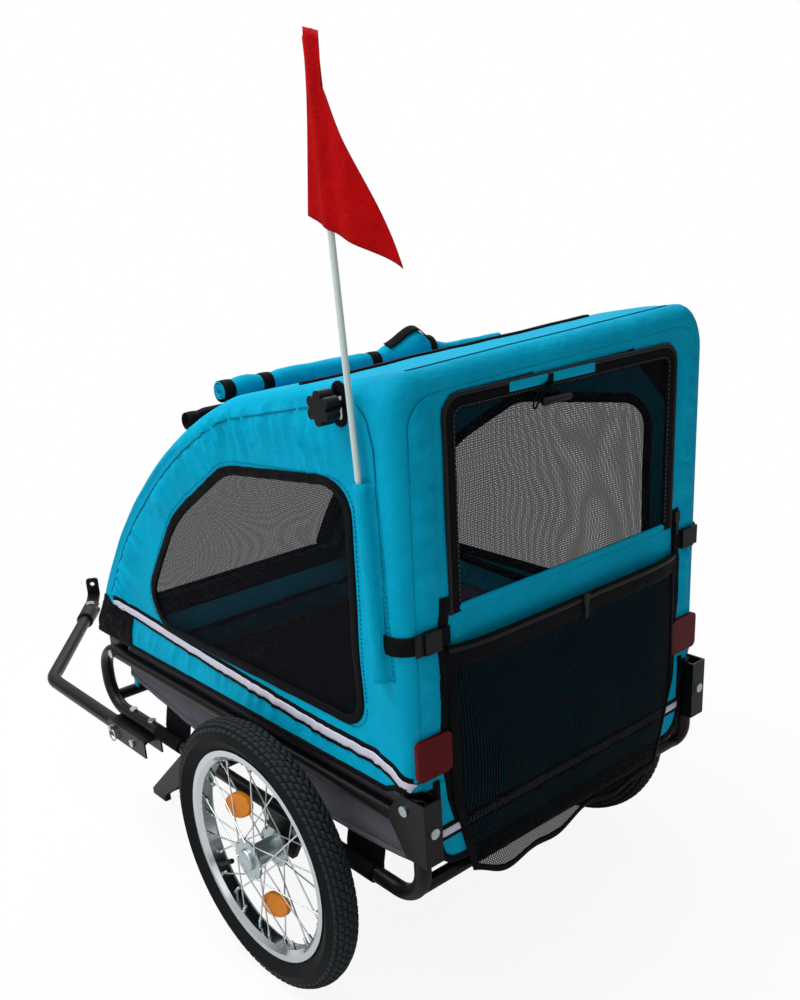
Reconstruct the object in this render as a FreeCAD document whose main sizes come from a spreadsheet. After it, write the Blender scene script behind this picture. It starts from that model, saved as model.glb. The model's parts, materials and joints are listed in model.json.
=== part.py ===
"""A dog bike trailer: two spoked wheels, a folding tube frame, a cloth cabin and a tow bar.

Millimetres. +X is right, +Y is the way it travels, +Z is up. The ground is Z = 0, the middle of the
width is X = 0, and the origin is halfway along the whole length. Pieces are drawn with the axle at
Y = 0, and their placements move them by the sheet's axle_shift.
"""
import FreeCAD, Part
import math
import os
import re
from types import SimpleNamespace

import Sketcher
from FreeCAD import Vector

doc = FreeCAD.newDocument("dog_bike_trailer")
sheet = doc.addObject("Spreadsheet::Sheet", "dims")

sizes = {
    # wheels
    "wheel_radius": 202, "track": 655, "tyre_width": 48, "tyre_side_radius": 178,
    "tread_half_width": 15, "tyre_shoulder_radius": 196, "tyre_lip": 0.5,
    "bead_radius": 153, "rim_half_width": 15, "rim_flange": 3, "rim_flange_radius": 159,
    "rim_well_radius": 150, "rim_well_half_width": 6, "rim_inner_radius": 143, "rim_floor_half_width": 9,
    "hub_half_length": 33, "hub_radius": 16, "hub_flange_radius": 31, "hub_flange": 3,
    "hub_flange_place": 21, "hub_bore_radius": 9.5, "hub_collar": 1.5, "hub_cap_length": 4,
    "hub_cap_wall": 2.5, "bearing_radius": 12.5, "bearing_width": 9, "outer_bearing_place": 6,
    "spoke_radius": 1.1, "spoke_count": 28, "spoke_lace_angle": 52, "spoke_head_inset": 4,
    "spoke_seat": 2, "spoke_rim_offset": 3,
    "wheel_reflector_length": 74, "wheel_reflector_width": 38, "wheel_reflector_thickness": 7,
    "wheel_reflector_radius": 75, "wheel_reflector_seat": 6,
    # axles and the plates that carry them
    "axle_radius": 6, "axle_nut_radius": 9, "axle_nut_length": 7, "axle_nut_gap": 2,
    "axle_collar_radius": 10, "axle_collar_length": 8,
    "axle_plate": 9, "axle_plate_top_width": 96, "axle_plate_foot_width": 40,
    "axle_plate_rise": 16, "axle_plate_drop": 20,
    # side loops, cross tubes and the brackets of the fold
    "frame_x": 270, "tube_radius": 11, "upper_rail_z": 345, "lower_rail_z": 232,
    "loop_rear": 282, "loop_front": 552, "loop_bend": 50,
    "cross_tube_radius": 10, "cross_seat": 3,
    "bracket_wall": 3, "bracket_gap": 0.4,
    "rear_pivot_y": 270, "rear_pivot_z": 370, "rear_bracket_back": 303, "rear_bracket_front": 240,
    "rear_bracket_top": 390, "rear_bracket_foot": 302, "rear_bracket_rise": 15,
    "front_pivot_y": 515, "front_pivot_z": 388, "front_bracket_reach": 30, "front_bracket_top": 402,
    "front_bracket_foot": 338, "front_bracket_step": 22, "pin_radius": 4, "pin_head": 3, "pin_head_radius": 7,
    "screw_inset": 15, "screw_z": 348, "screw_reach": 36, "axle_bolt_y": 34,
    # hoops
    "rear_hoop_radius": 10, "rear_hoop_top_y": 254, "rear_hoop_top_z": 883, "rear_hoop_bend": 58,
    "front_hoop_x": 246, "front_hoop_radius": 9, "front_hoop_top_y": 40, "front_hoop_top_z": 824,
    "front_hoop_bow": 62, "front_hoop_bend": 52, "hoop_foot": 13,
    # push handle clamps with star knobs
    "clamp_plate": 6, "clamp_back_y": 270, "clamp_reach": 20, "clamp_drop": 85, "clamp_strap": 26,
    "clamp_nose": 17, "clamp_boss": 16,
    "knob_y": 195, "knob_z": 857, "knob_stud_radius": 4, "knob_boss_radius": 9, "knob_radius": 20,
    "knob_lobe_radius": 6.5, "knob_lobes": 6, "knob_thickness": 18, "knob_neck": 9,
    "knob_slot_half_height": 20, "knob_slot_half_width": 9,
    # cloth cabin
    "cloth": 3, "cabin_half_width": 284, "cabin_back": 286, "panel_step": 12, "side_foot": 384,
    "roof_back_z": 899, "roof_front_y": 34, "roof_edge_radius": 24, "cloth_gap": 0.5, "bow_gap": 1,
    "edge_margin": 1,
    "window_hem": 8, "mesh": 1.5, "window_bend": 32, "side_notch": 24,
    "window_foot": 462, "window_back": 195, "window_head": 768, "window_head_front": 55,
    "window_head_fall": 30, "window_nose": 318, "window_nose_z": 505,
    "front_open_half_width": 190,
    "door_half_width": 212, "door_foot": 608, "door_head": 864, "door_band": 18, "door_gap": 1,
    "door_bend": 26,
    "skirt_half_width": 246, "skirt_foot": 276, "skirt_corner": 34,
    "tub_gap": 9, "tub_front": 480, "tub_top": 361, "floor_z": 286, "floor_board": 6,
    "pad_thickness": 24, "pad_draw": 6, "pad_crown": 5, "pad_crown_inset": 40, "pad_bend": 60,
    "pad_margin": 4,
    "sling_length": 78, "sling_front_y": 342, "sling_rear_y": -150, "sling_cloth": 2,
    "roll_radius": 15, "roll_half_length": 262, "roll_flare": 3, "roll_tie": 3, "rain_roll_radius": 13,
    # rear pocket, reflectors, buckles and zip sliders
    "pocket_step": 34, "pocket_foot": 232, "pocket_half_width": 224, "pocket_foot_half_width": 188,
    "pocket_depth": 40, "pocket_mouth": 9, "pocket_cloth": 2.5, "pocket_belly_z": 360,
    "pocket_band": 46, "pocket_taper": 10,
    "reflector_x": 249, "reflector_width": 56, "reflector_height": 54, "reflector_rise": 42,
    "reflector_thickness": 6, "reflector_bend": 8,
    "buckle_x": 258, "buckle_drop": 21, "buckle_length": 25, "buckle_height": 27, "buckle_thickness": 9,
    "buckle_wall": 2.5, "buckle_play": 0.4, "tongue_depth": 20, "tongue_bar": 12,
    "slider_width": 10, "slider_length": 15, "slider_thickness": 5, "slider_tab": 26,
    "slider_tab_width": 6, "slider_tab_thickness": 2, "door_slider_rise": 15, "pocket_slider_x": 12,
    # flag
    "flag_sleeve_radius": 7, "flag_sleeve_foot": 540, "flag_sleeve_head": 776, "flag_sleeve_y": 249,
    "flag_lean": 3.7, "pole_radius": 3.75, "pole_length": 680, "pole_foot": 8,
    "flag_hoist": 173, "flag_fly": 119, "flag_droop": 52, "flag_cloth": 1.6,
    "flag_fold": 7, "flag_head": 20, "flag_lap": 24,
    # tow bar
    "tow_x": 284, "tow_radius": 13, "tow_pivot_y": 430,
    "tow_bend_y": 787, "tow_turn": 38, "tow_bend": 62, "tow_far_run": 335,
    "tow_channel_front": 86, "tow_channel_back": 44, "tow_channel_wall": 3, "tow_channel_drop": 14,
    "tow_channel_gap": 1, "tow_bolt_inset": 24, "tow_bolt_reach": 40,
    "lock_y": 66, "lock_rise": 8, "lock_radius": 3, "lock_slot": 5,
    "lock_ring_radius": 11, "lock_ring_wire": 1.6, "lock_grip": 8, "lock_grip_radius": 5,
    "coupler_radius": 18, "coupler_length": 48, "coupler_grip": 30, "fork_length": 40, "fork_half_width": 15,
    "fork_slot": 7, "fork_thickness": 22, "hitch_bolt_radius": 5, "hitch_bolt_head": 6,
    "hitch_bolt_head_radius": 9, "hitch_plate": 6, "hitch_half_width": 14, "hitch_reach": 105,
    "hitch_rise": 40, "hitch_eye_radius": 5.2, "hitch_turn": 30,
    # parking stand
    "stand_y": 290, "stand_x": 200, "stand_arm": 12, "stand_hub_radius": 17, "stand_foot_y": 556,
    "stand_foot_length": 46, "stand_bar_radius": 8, "stand_bar_z": 16, "stand_toe": 12,
    "stand_knee_y": 96, "stand_knee_drop": 42,
    # fits
    "running_gap": 0.05, "overrun": 5,
}

derived = {
    "rear_reach": "cabin_back + pocket_depth + cloth_gap",
    "front_reach": "tow_bend_y + (tow_far_run + coupler_length - coupler_grip + fork_length / 2)"
                   " * cos(tow_turn) + hitch_reach * cos(hitch_turn)"
                   " + hitch_half_width * sin(hitch_turn)",
    "axle_shift": "(rear_reach - front_reach) / 2",
    "wheel_x": "track / 2",
    "tread_rise": "wheel_radius - tyre_shoulder_radius",
    "tread_arc": "(tread_half_width^2 + tread_rise^2) / (2 * tread_rise)",
    "bead_half_width": "rim_half_width - rim_flange",
    "rail_outer": "frame_x + tube_radius",
    "rail_inner": "frame_x - tube_radius",
    "stand_hub_z": "lower_rail_z",
    "tow_z": "lower_rail_z - tube_radius - tow_channel_wall - tow_channel_gap - tow_radius",
    "bow_dy": "front_pivot_y - front_hoop_top_y",
    "bow_dz": "front_hoop_top_z - front_pivot_z",
    "bow_chord": "sqrt(bow_dy^2 + bow_dz^2)",
    "bow_radius": "(bow_chord^2 / 4 + front_hoop_bow^2) / (2 * front_hoop_bow)",
    "bow_y": "(front_pivot_y + front_hoop_top_y) / 2 - bow_dz / bow_chord * (bow_radius - front_hoop_bow)",
    "bow_z": "(front_pivot_z + front_hoop_top_z) / 2 - bow_dy / bow_chord * (bow_radius - front_hoop_bow)",
    "skin_radius": "bow_radius + front_hoop_radius + bow_gap + cloth",
    "nose_y": "bow_y + sqrt(skin_radius^2 - (side_foot - bow_z)^2)",
    "roof_front_z": "bow_z + sqrt(skin_radius^2 - (roof_front_y - bow_y)^2)",
    "panel_inner": "cabin_half_width - cloth",
    "back_inner": "cabin_back - cloth",
    "roof_turn_z": "roof_back_z - roof_edge_radius",
    "roof_turn_y": "cabin_back - roof_edge_radius",
    "board_top": "floor_z + floor_board",
    "tub_half_width": "rail_inner - tub_gap",
    "panel_foot": "side_foot + panel_step",
    "hub_outer_end": "hub_flange_place + hub_flange + hub_collar",
    "reflector_z": "panel_foot + reflector_rise",
    "door_slider_z": "door_foot + door_slider_rise",
    "window_head_nose": "window_head - window_head_fall",
    "pocket_head": "door_foot - pocket_step",
    "pocket_band_z": "pocket_head - pocket_band",
    "buckle_z": "door_foot - buckle_drop",
    "clamp_foot": "knob_z - clamp_drop",
    "clamp_front": "knob_y - clamp_reach",
}


def cells(expression):
    """Point every size named in an expression at its cell of the sheet."""
    def cell(word):
        return "dims." + word[0] if word[0] in sizes or word[0] in derived else word[0]
    return re.sub(r"[a-z]\w*", cell, expression)


for row, (alias, value) in enumerate(sizes.items(), 1):
    sheet.set(f"A{row}", alias.replace("_", " "))
    sheet.set(f"B{row}", str(value))
    sheet.setAlias(f"B{row}", alias)
angles = ("tow_turn", "hitch_turn")
for row, (alias, formula) in enumerate(derived.items(), len(sizes) + 1):
    for angle in angles:
        formula = formula.replace(f"({angle})", f"({angle} * 1 deg)")
    sheet.set(f"A{row}", alias.replace("_", " "))
    sheet.set(f"B{row}", "=" + formula)
    sheet.setAlias(f"B{row}", alias)
doc.recompute()
at = SimpleNamespace(**{alias: float(sheet.get(alias)) for alias in [*sizes, *derived]})

nodes = {}


def bind(thing, **properties):
    """Bind properties to the sheet; a double underscore in a name stands for a dot."""
    for name, expression in properties.items():
        thing.setExpression(name.replace("__", "."), cells(expression))
    return thing


def node(thing, label):
    """Name a finished sub-part after its file."""
    thing.Label = label
    nodes[label] = thing
    return thing


def moved(thing, x="0", y="0", z="0"):
    """Set a sub-part in the trailer, with y counted from the axle."""
    return bind(thing, Placement__Base__x=x, Placement__Base__y=f"{y} + axle_shift", Placement__Base__z=z)


def mirrored(thing, label):
    """The left-hand twin of a right-hand sub-part."""
    twin = doc.addObject("Part::Mirroring", label)
    twin.Source = thing
    twin.Normal = Vector(1, 0, 0)
    return twin


def grouped(things, label):
    group = doc.addObject("Part::Compound", label)
    group.Links = things
    return node(group, label)


def made(shape, label):
    """A sub-part whose shape comes from Part's own functions."""
    thing = doc.addObject("Part::Feature", label)
    thing.Shape = shape
    return moved(thing)


def value_of(expression):
    """What an expression comes to now, as a plain number."""
    found = sheet.evalExpression(cells(expression).replace("dims.", ""))
    return float(getattr(found, "Value", found))


def sketched(body, plane, outline, offset="0"):
    """A closed outline on one of a body's planes, bound to the sheet corner by corner.

    Each corner is (x, y) or (x, y, radius): a radius makes the run to the next corner an arc,
    turning left where it is positive and right where it starts with a minus sign.
    """
    drawing = body.newObject("Sketcher::SketchObject", body.Name + "_outline")
    base = [f for f in body.Origin.OriginFeatures if f.Role == plane][0]
    drawing.AttachmentSupport = (base, [""])
    drawing.MapMode = "FlatFace"
    if offset != "0":
        bind(drawing, AttachmentOffset__Base__z=offset)
    corners = [Vector(value_of(c[0]), value_of(c[1]), 0) for c in outline]
    ends = []
    for i, corner in enumerate(outline):
        first, last = corners[i], corners[(i + 1) % len(corners)]
        if len(corner) == 2:
            ends.append((drawing.addGeometry(Part.LineSegment(first, last), False), 1, 2))
            continue
        left = not corner[2].startswith("-")
        radius = abs(value_of(corner[2]))
        chord = last - first
        height = math.sqrt(max(radius**2 - chord.Length**2 / 4, 0))
        side = Vector(-chord.y, chord.x, 0).normalize() * (height if left else -height)
        centre = (first + last) * 0.5 + side
        turns = [math.atan2(p.y - centre.y, p.x - centre.x) for p in (first, last)]
        begin, finish = turns if left else turns[::-1]
        circle = Part.Circle(centre, Vector(0, 0, 1), radius)
        arc = drawing.addGeometry(Part.ArcOfCircle(circle, begin, finish), False)
        ends.append((arc, 1, 2) if left else (arc, 2, 1))
    for i, corner in enumerate(outline):
        edge, start, _ = ends[i]
        before, _, finish = ends[i - 1]
        drawing.addConstraint(Sketcher.Constraint("Coincident", before, finish, edge, start))
        for kind, expression, length in (("DistanceX", corner[0], corners[i].x),
                                         ("DistanceY", corner[1], corners[i].y)):
            held = drawing.addConstraint(Sketcher.Constraint(kind, -1, 1, edge, start, length))
            drawing.setExpression(f"Constraints[{held}]", cells(expression))
        if len(corner) == 3:
            radius = corner[2].lstrip("-")
            held = drawing.addConstraint(Sketcher.Constraint("Radius", edge, value_of(radius)))
            drawing.setExpression(f"Constraints[{held}]", cells(radius))
    return drawing


def rounded(body, feature, radius, along, wanted=lambda edge: True):
    """Round the straight edges of a feature that run along one axis and that are wanted."""
    doc.recompute()
    names = []
    for i, edge in enumerate(feature.Shape.Edges, 1):
        run = edge.Vertexes[-1].Point - edge.Vertexes[0].Point
        straight = edge.Curve.TypeId == "Part::GeomLine"
        if straight and run.cross(along).Length < 1e-6 * run.Length and wanted(edge):
            names.append(f"Edge{i}")
    fillet = body.newObject("PartDesign::Fillet", body.Name + "_fillet")
    fillet.Base = (feature, names)
    return bind(fillet, Radius=radius)


def padded(label, plane, outline, length, offset="0"):
    """A body with one outline raised from one of its planes."""
    body = doc.addObject("PartDesign::Body", label)
    pad = body.newObject("PartDesign::Pad", label + "_pad")
    pad.Profile = sketched(body, plane, outline, offset)
    bind(pad, Length=length)
    moved(body)
    return body, pad


def pocketed(body, plane, outline, offset="0"):
    """Cut an outline right through a body."""
    pocket = body.newObject("PartDesign::Pocket", body.Name + "_cut")
    pocket.Profile = sketched(body, plane, outline, offset)
    pocket.Type = "ThroughAll"
    pocket.Midplane = True
    return pocket


def turned(label, outline):
    """A body turned about its own X axis from an outline of (place, radius) corners."""
    body = doc.addObject("PartDesign::Body", label)
    spin = body.newObject("PartDesign::Revolution", label + "_turn")
    drawing = sketched(body, "XY_Plane", outline)
    spin.Profile = drawing
    spin.ReferenceAxis = (drawing, ["H_Axis"])
    return body


def box_outline(x, y, half_width, half_height):
    return [(f"{x} - {half_width}", f"{y} - {half_height}"), (f"{x} + {half_width}", f"{y} - {half_height}"),
            (f"{x} + {half_width}", f"{y} + {half_height}"), (f"{x} - {half_width}", f"{y} + {half_height}")]


def circle_outline(x, y, radius):
    return [(f"{x} + ({radius})", y, radius), (x, f"{y} + {radius}", radius),
            (f"{x} - ({radius})", y, radius), (x, f"{y} - ({radius})", radius)]


def bent(points, bend, closed=False):
    """A wire of straight runs joined by arcs of one bend radius."""
    count = len(points)
    edges = []
    joints = range(count) if closed else range(1, count - 1)
    starts, finishes = {}, {}
    for i in joints:
        back = (points[i - 1] - points[i]).normalize()
        on = (points[(i + 1) % count] - points[i]).normalize()
        half = back.getAngle(on) / 2
        inward = (back + on).normalize()
        centre = points[i] + inward * (bend / math.sin(half))
        starts[i] = points[i] + back * (bend / math.tan(half))
        finishes[i] = points[i] + on * (bend / math.tan(half))
        edges.append((i, Part.Arc(starts[i], centre - inward * bend, finishes[i]).toShape()))
    arcs = dict(edges)
    runs = []
    for i in range(count if closed else count - 1):
        j = (i + 1) % count
        if i in arcs:
            runs.append(arcs[i])
        runs.append(Part.LineSegment(finishes.get(i, points[i]), starts.get(j, points[j])).toShape())
    return Part.Wire(Part.__sortEdges__(runs))


def swept(wire, radius):
    """A round rod along a wire."""
    edge = wire.OrderedEdges[0]
    start = edge.valueAt(edge.FirstParameter)
    along = edge.tangentAt(edge.FirstParameter)
    ring = Part.Wire(Part.Circle(start, along, radius).toShape())
    return Part.Solid(wire.makePipeShell([ring], True, False))


def rod(radius, start, finish):
    return Part.makeCylinder(radius, (finish - start).Length, start, finish - start)


def block(low, high):
    span = high - low
    return Part.makeBox(span.x, span.y, span.z, low)


# Wheels: the right one is drawn about its own centre, outboard along +X, and the left is its twin.

def wheel_piece(thing, name):
    moved(thing, x="wheel_x", z="wheel_radius")
    node(thing, f"wheel_right_{name}")
    node(mirrored(thing, f"wheel_left_{name}"), f"wheel_left_{name}")


wheel_piece(turned("tyre", [
    ("-bead_half_width", "bead_radius"), ("bead_half_width", "bead_radius"),
    ("bead_half_width", "rim_flange_radius + tyre_lip"), ("tyre_width / 2", "tyre_side_radius"),
    ("tread_half_width", "tyre_shoulder_radius", "tread_arc"),
    ("-tread_half_width", "tyre_shoulder_radius"), ("-tyre_width / 2", "tyre_side_radius"),
    ("-bead_half_width", "rim_flange_radius + tyre_lip")]), "tyre")

wheel_piece(turned("rim", [
    ("-rim_floor_half_width", "rim_inner_radius"), ("rim_floor_half_width", "rim_inner_radius"),
    ("rim_half_width", "rim_well_radius"), ("rim_half_width", "rim_flange_radius"),
    ("bead_half_width", "rim_flange_radius"), ("bead_half_width", "bead_radius"),
    ("rim_floor_half_width", "bead_radius"), ("rim_well_half_width", "rim_well_radius"),
    ("-rim_well_half_width", "rim_well_radius"), ("-rim_floor_half_width", "bead_radius"),
    ("-bead_half_width", "bead_radius"), ("-bead_half_width", "rim_flange_radius"),
    ("-rim_half_width", "rim_flange_radius"), ("-rim_half_width", "rim_well_radius")]), "rim")

wheel_piece(turned("hub", [
    ("-hub_half_length", "bearing_radius"), ("-hub_half_length + bearing_width", "bearing_radius"),
    ("-hub_half_length + bearing_width", "hub_bore_radius"), ("outer_bearing_place", "hub_bore_radius"),
    ("outer_bearing_place", "bearing_radius"),
    ("hub_outer_end + hub_cap_length - hub_cap_wall", "bearing_radius"),
    ("hub_outer_end + hub_cap_length - hub_cap_wall", "0"), ("hub_outer_end + hub_cap_length", "0"),
    ("hub_outer_end + hub_cap_length", "hub_bore_radius", "hub_cap_length"),
    ("hub_outer_end", "hub_radius"), ("hub_flange_place + hub_flange", "hub_radius"),
    ("hub_flange_place + hub_flange", "hub_flange_radius"), ("hub_flange_place", "hub_flange_radius"),
    ("hub_flange_place", "hub_radius"), ("-hub_flange_place", "hub_radius"),
    ("-hub_flange_place", "hub_flange_radius"), ("-hub_flange_place - hub_flange", "hub_flange_radius"),
    ("-hub_flange_place - hub_flange", "hub_radius"), ("-hub_half_length", "hub_radius")]), "hub")


def bearing(name, place):
    """One sealed ball bearing, races and shields as one ring."""
    ring = doc.addObject("Part::Cylinder", name + "_ring")
    bind(ring, Radius="bearing_radius", Height="bearing_width")
    bore = doc.addObject("Part::Cylinder", name + "_bore")
    bind(bore, Radius="axle_radius + running_gap", Height="bearing_width")
    cut = doc.addObject("Part::Cut", name)
    cut.Base, cut.Tool = ring, bore
    cut.Placement.Rotation = FreeCAD.Rotation(Vector(0, 1, 0), 90)
    return bind(cut, Placement__Base__x=place)


bearings = doc.addObject("Part::Compound", "bearings")
bearings.Links = [bearing("inner_bearing", "-hub_half_length"),
                  bearing("outer_bearing", "outer_bearing_place")]
wheel_piece(bearings, "bearings")


def spokes():
    """Crossed spokes, from alternate flanges and alternate sides of each flange to the rim."""
    count = int(at.spoke_count)
    head_radius = at.hub_flange_radius - at.spoke_head_inset
    rods = []
    for i in range(count):
        flange = 1 if i % 2 else -1
        trailing = 1 if (i // 2) % 2 else -1
        rim_turn = 2 * math.pi * i / count
        hub_turn = rim_turn + trailing * math.radians(at.spoke_lace_angle)
        middle = at.hub_flange_place + at.hub_flange / 2
        head = flange * (middle + trailing * (at.hub_flange / 2 + at.spoke_radius))
        start = Vector(head, head_radius * math.cos(hub_turn), head_radius * math.sin(hub_turn))
        reach = at.rim_inner_radius + at.spoke_seat
        finish = Vector(flange * at.spoke_rim_offset, reach * math.cos(rim_turn), reach * math.sin(rim_turn))
        rods.append(rod(at.spoke_radius, start, finish))
    return Part.makeCompound(rods)


wheel_piece(made(spokes(), "spokes"), "spokes")

reflector_turn_share = -0.155


def wheel_reflectors():
    """Two oval lenses clipped across the outer spokes, opposite each other."""
    lenses = []
    half_length, half_width = at.wheel_reflector_length / 2, at.wheel_reflector_width / 2
    place = at.hub_flange_place * (1 - at.wheel_reflector_radius / at.rim_inner_radius)
    for turn in (reflector_turn_share * math.pi, (1 + reflector_turn_share) * math.pi):
        oval = Part.Ellipse(Vector(0, half_length, 0), Vector(half_width, 0, 0), Vector(0, 0, 0))
        lens = Part.Face(Part.Wire(oval.toShape())).extrude(Vector(0, 0, at.wheel_reflector_thickness))
        rim_edges = [edge for edge in lens.Edges
                     if abs(edge.BoundBox.ZMin - at.wheel_reflector_thickness) < at.running_gap]
        lens = lens.makeFillet(at.wheel_reflector_thickness / 3, rim_edges)
        lens.rotate(Vector(0, 0, 0), Vector(0, 1, 0), 90)
        lens.translate(Vector(place - at.wheel_reflector_seat, 0, at.wheel_reflector_radius))
        lens.rotate(Vector(0, 0, 0), Vector(1, 0, 0), math.degrees(turn))
        lenses.append(lens)
    return Part.makeCompound(lenses)


wheel_piece(made(wheel_reflectors(), "wheel_reflectors"), "reflectors")

# Stub axles: a collar inside the plate, the shaft, and the nut that keeps the bearings on.
axle = turned("axle", [
    ("-axle_collar_length", "0"),
    ("wheel_x + outer_bearing_place + bearing_width + axle_nut_gap + axle_nut_length - rail_outer", "0"),
    ("wheel_x + outer_bearing_place + bearing_width + axle_nut_gap + axle_nut_length - rail_outer",
     "axle_nut_radius"),
    ("wheel_x + outer_bearing_place + bearing_width + axle_nut_gap - rail_outer", "axle_nut_radius"),
    ("wheel_x + outer_bearing_place + bearing_width + axle_nut_gap - rail_outer", "axle_radius"),
    ("0", "axle_radius"), ("0", "axle_collar_radius"), ("-axle_collar_length", "axle_collar_radius")])
node(moved(axle, x="rail_outer", z="wheel_radius"), "axle_right")
node(mirrored(axle, "axle_left"), "axle_left")

# Axle plates: a tapered plate outside each lower rail, bored for the axle.
plate, plate_pad = padded("axle_plate_right", "YZ_Plane", [
    ("-axle_plate_foot_width / 2", "wheel_radius - axle_plate_drop"),
    ("axle_plate_foot_width / 2", "wheel_radius - axle_plate_drop"),
    ("axle_plate_top_width / 2", "lower_rail_z"),
    ("axle_plate_top_width / 2", "lower_rail_z + axle_plate_rise"),
    ("-axle_plate_top_width / 2", "lower_rail_z + axle_plate_rise"),
    ("-axle_plate_top_width / 2", "lower_rail_z")], "axle_plate", "rail_outer")
pocketed(plate, "YZ_Plane", circle_outline("0", "wheel_radius", "axle_radius"))
grouped([plate, mirrored(plate, "axle_plate_left")], "axle_plates")

# Side loops: one closed ring of tube on each side, and four cross tubes between them.
loop_corners = [Vector(at.frame_x, y, z) for y, z in (
    (-at.loop_rear, at.lower_rail_z), (at.loop_front, at.lower_rail_z),
    (at.loop_front, at.upper_rail_z), (-at.loop_rear, at.upper_rail_z))]
loop = made(swept(bent(loop_corners, at.loop_bend, closed=True), at.tube_radius), "side_loop_right")
node(loop, "side_loop_right")
node(mirrored(loop, "side_loop_left"), "side_loop_left")


def cross_tube(name, y, z):
    tube = doc.addObject("Part::Cylinder", name)
    bind(tube, Radius="cross_tube_radius", Height="2 * (rail_inner + cross_seat)")
    tube.Placement.Rotation = FreeCAD.Rotation(Vector(0, 1, 0), 90)
    return moved(tube, x="-rail_inner - cross_seat", y=y, z=z)


bend_share = 1 - math.sqrt(0.5)
grouped([cross_tube("rear_cross_tube", f"-loop_rear + loop_bend * {bend_share}",
                    f"lower_rail_z + loop_bend * {bend_share}"),
         cross_tube("axle_cross_tube", "0", "lower_rail_z"),
         cross_tube("stand_cross_tube", "stand_y", "stand_hub_z"),
         cross_tube("front_cross_tube", f"loop_front - loop_bend * {bend_share}",
                    f"lower_rail_z + loop_bend * {bend_share}")], "floor_cross_tubes")


def channel(name, middle, half_gap, cheek, web):
    """A folded U bracket: two cheeks of one outline in YZ and a web across their back."""
    walls = []
    for side, start in (("inner", f"{middle} - {half_gap} - bracket_wall"),
                        ("outer", f"{middle} + {half_gap}")):
        wall, wall_pad = padded(f"{name}_{side}_cheek", "YZ_Plane", cheek, "bracket_wall", start)
        walls.append(wall)
    back, back_pad = padded(f"{name}_web", "YZ_Plane", web, f"2 * ({half_gap} + bracket_wall)",
                            f"{middle} - {half_gap} - bracket_wall")
    fuse = doc.addObject("Part::MultiFuse", name)
    fuse.Shapes = [*walls, back]
    return fuse


def drilled(thing, name, radius, x, reach, y, z):
    """Drill a hole along X through a sub-part, from x over a reach."""
    drill = doc.addObject("Part::Cylinder", name + "_drill")
    bind(drill, Radius=radius, Height=reach)
    drill.Placement.Rotation = FreeCAD.Rotation(Vector(0, 1, 0), 90)
    moved(drill, x=x, y=y, z=z)
    cut = doc.addObject("Part::Cut", name)
    cut.Base, cut.Tool = thing, drill
    return cut


rear_bracket = channel("rear_bracket", "frame_x", "(tube_radius + bracket_gap)", [
    ("-rear_bracket_back", "rear_bracket_foot"), ("-rear_pivot_y", "rear_bracket_foot"),
    ("-rear_bracket_front", "upper_rail_z"), ("-rear_bracket_front", "upper_rail_z + rear_bracket_rise"),
    ("-rear_pivot_y + pin_head_radius", "rear_bracket_top"), ("-rear_bracket_back", "rear_bracket_top")], [
    ("-rear_bracket_back - bracket_wall", "rear_bracket_foot"), ("-rear_bracket_back", "rear_bracket_foot"),
    ("-rear_bracket_back", "rear_bracket_top"), ("-rear_bracket_back - bracket_wall", "rear_bracket_top")])
rear_bracket = drilled(rear_bracket, "rear_bracket_right", "pin_radius", "rail_inner - 2 * bracket_wall",
                       "2 * tube_radius + 4 * bracket_wall", "-rear_pivot_y", "rear_pivot_z")
grouped([rear_bracket, mirrored(rear_bracket, "rear_bracket_left")], "rear_brackets")

front_gap = "(front_hoop_radius + bracket_gap)"
front_bracket = channel("front_bracket", "front_hoop_x", front_gap, [
    ("front_pivot_y - front_bracket_reach", "front_bracket_foot"),
    ("front_pivot_y + front_bracket_reach", "front_bracket_foot"),
    ("front_pivot_y + front_bracket_reach", "front_bracket_top"),
    ("front_pivot_y - pin_head_radius", "front_bracket_top"),
    ("front_pivot_y - front_bracket_reach", "front_bracket_foot + front_bracket_step")], [
    ("front_pivot_y + front_bracket_reach", "front_bracket_foot"),
    ("front_pivot_y + front_bracket_reach + bracket_wall", "front_bracket_foot"),
    ("front_pivot_y + front_bracket_reach + bracket_wall", "front_bracket_top"),
    ("front_pivot_y + front_bracket_reach", "front_bracket_top")])
front_bracket = drilled(front_bracket, "front_bracket_right", "pin_radius",
                        f"front_hoop_x - {front_gap} - 2 * bracket_wall", f"2 * {front_gap} + 4 * bracket_wall",
                        "front_pivot_y", "front_pivot_z")
grouped([front_bracket, mirrored(front_bracket, "front_bracket_left")], "front_brackets")


# Hoops that carry the cloth: the rear one is flat, the front one has bowed legs.

def drill_x(radius, y, z):
    reach = at.cabin_half_width
    return rod(radius, Vector(-reach, y, z), Vector(reach, y, z))


def rear_hoop():
    pivot = Vector(at.frame_x, -at.rear_pivot_y, at.rear_pivot_z)
    top = Vector(at.frame_x, -at.rear_hoop_top_y, at.rear_hoop_top_z)
    foot = pivot - (top - pivot).normalize() * at.hoop_foot
    left = [Vector(-p.x, p.y, p.z) for p in (top, foot)]
    tube = swept(bent([foot, top, *left], at.rear_hoop_bend), at.rear_hoop_radius)
    return tube.cut(drill_x(at.pin_radius + at.running_gap, -at.rear_pivot_y, at.rear_pivot_z))


def bow_point(share, radius, x=0.0):
    """A point on the bow of the front, from the pivot at share 0 to the top at share 1."""
    low = math.atan2(at.front_pivot_z - at.bow_z, at.front_pivot_y - at.bow_y)
    high = math.atan2(at.front_hoop_top_z - at.bow_z, at.front_hoop_top_y - at.bow_y)
    turn = low + share * (high - low)
    return Vector(x, at.bow_y + radius * math.cos(turn), at.bow_z + radius * math.sin(turn)), turn


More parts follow.
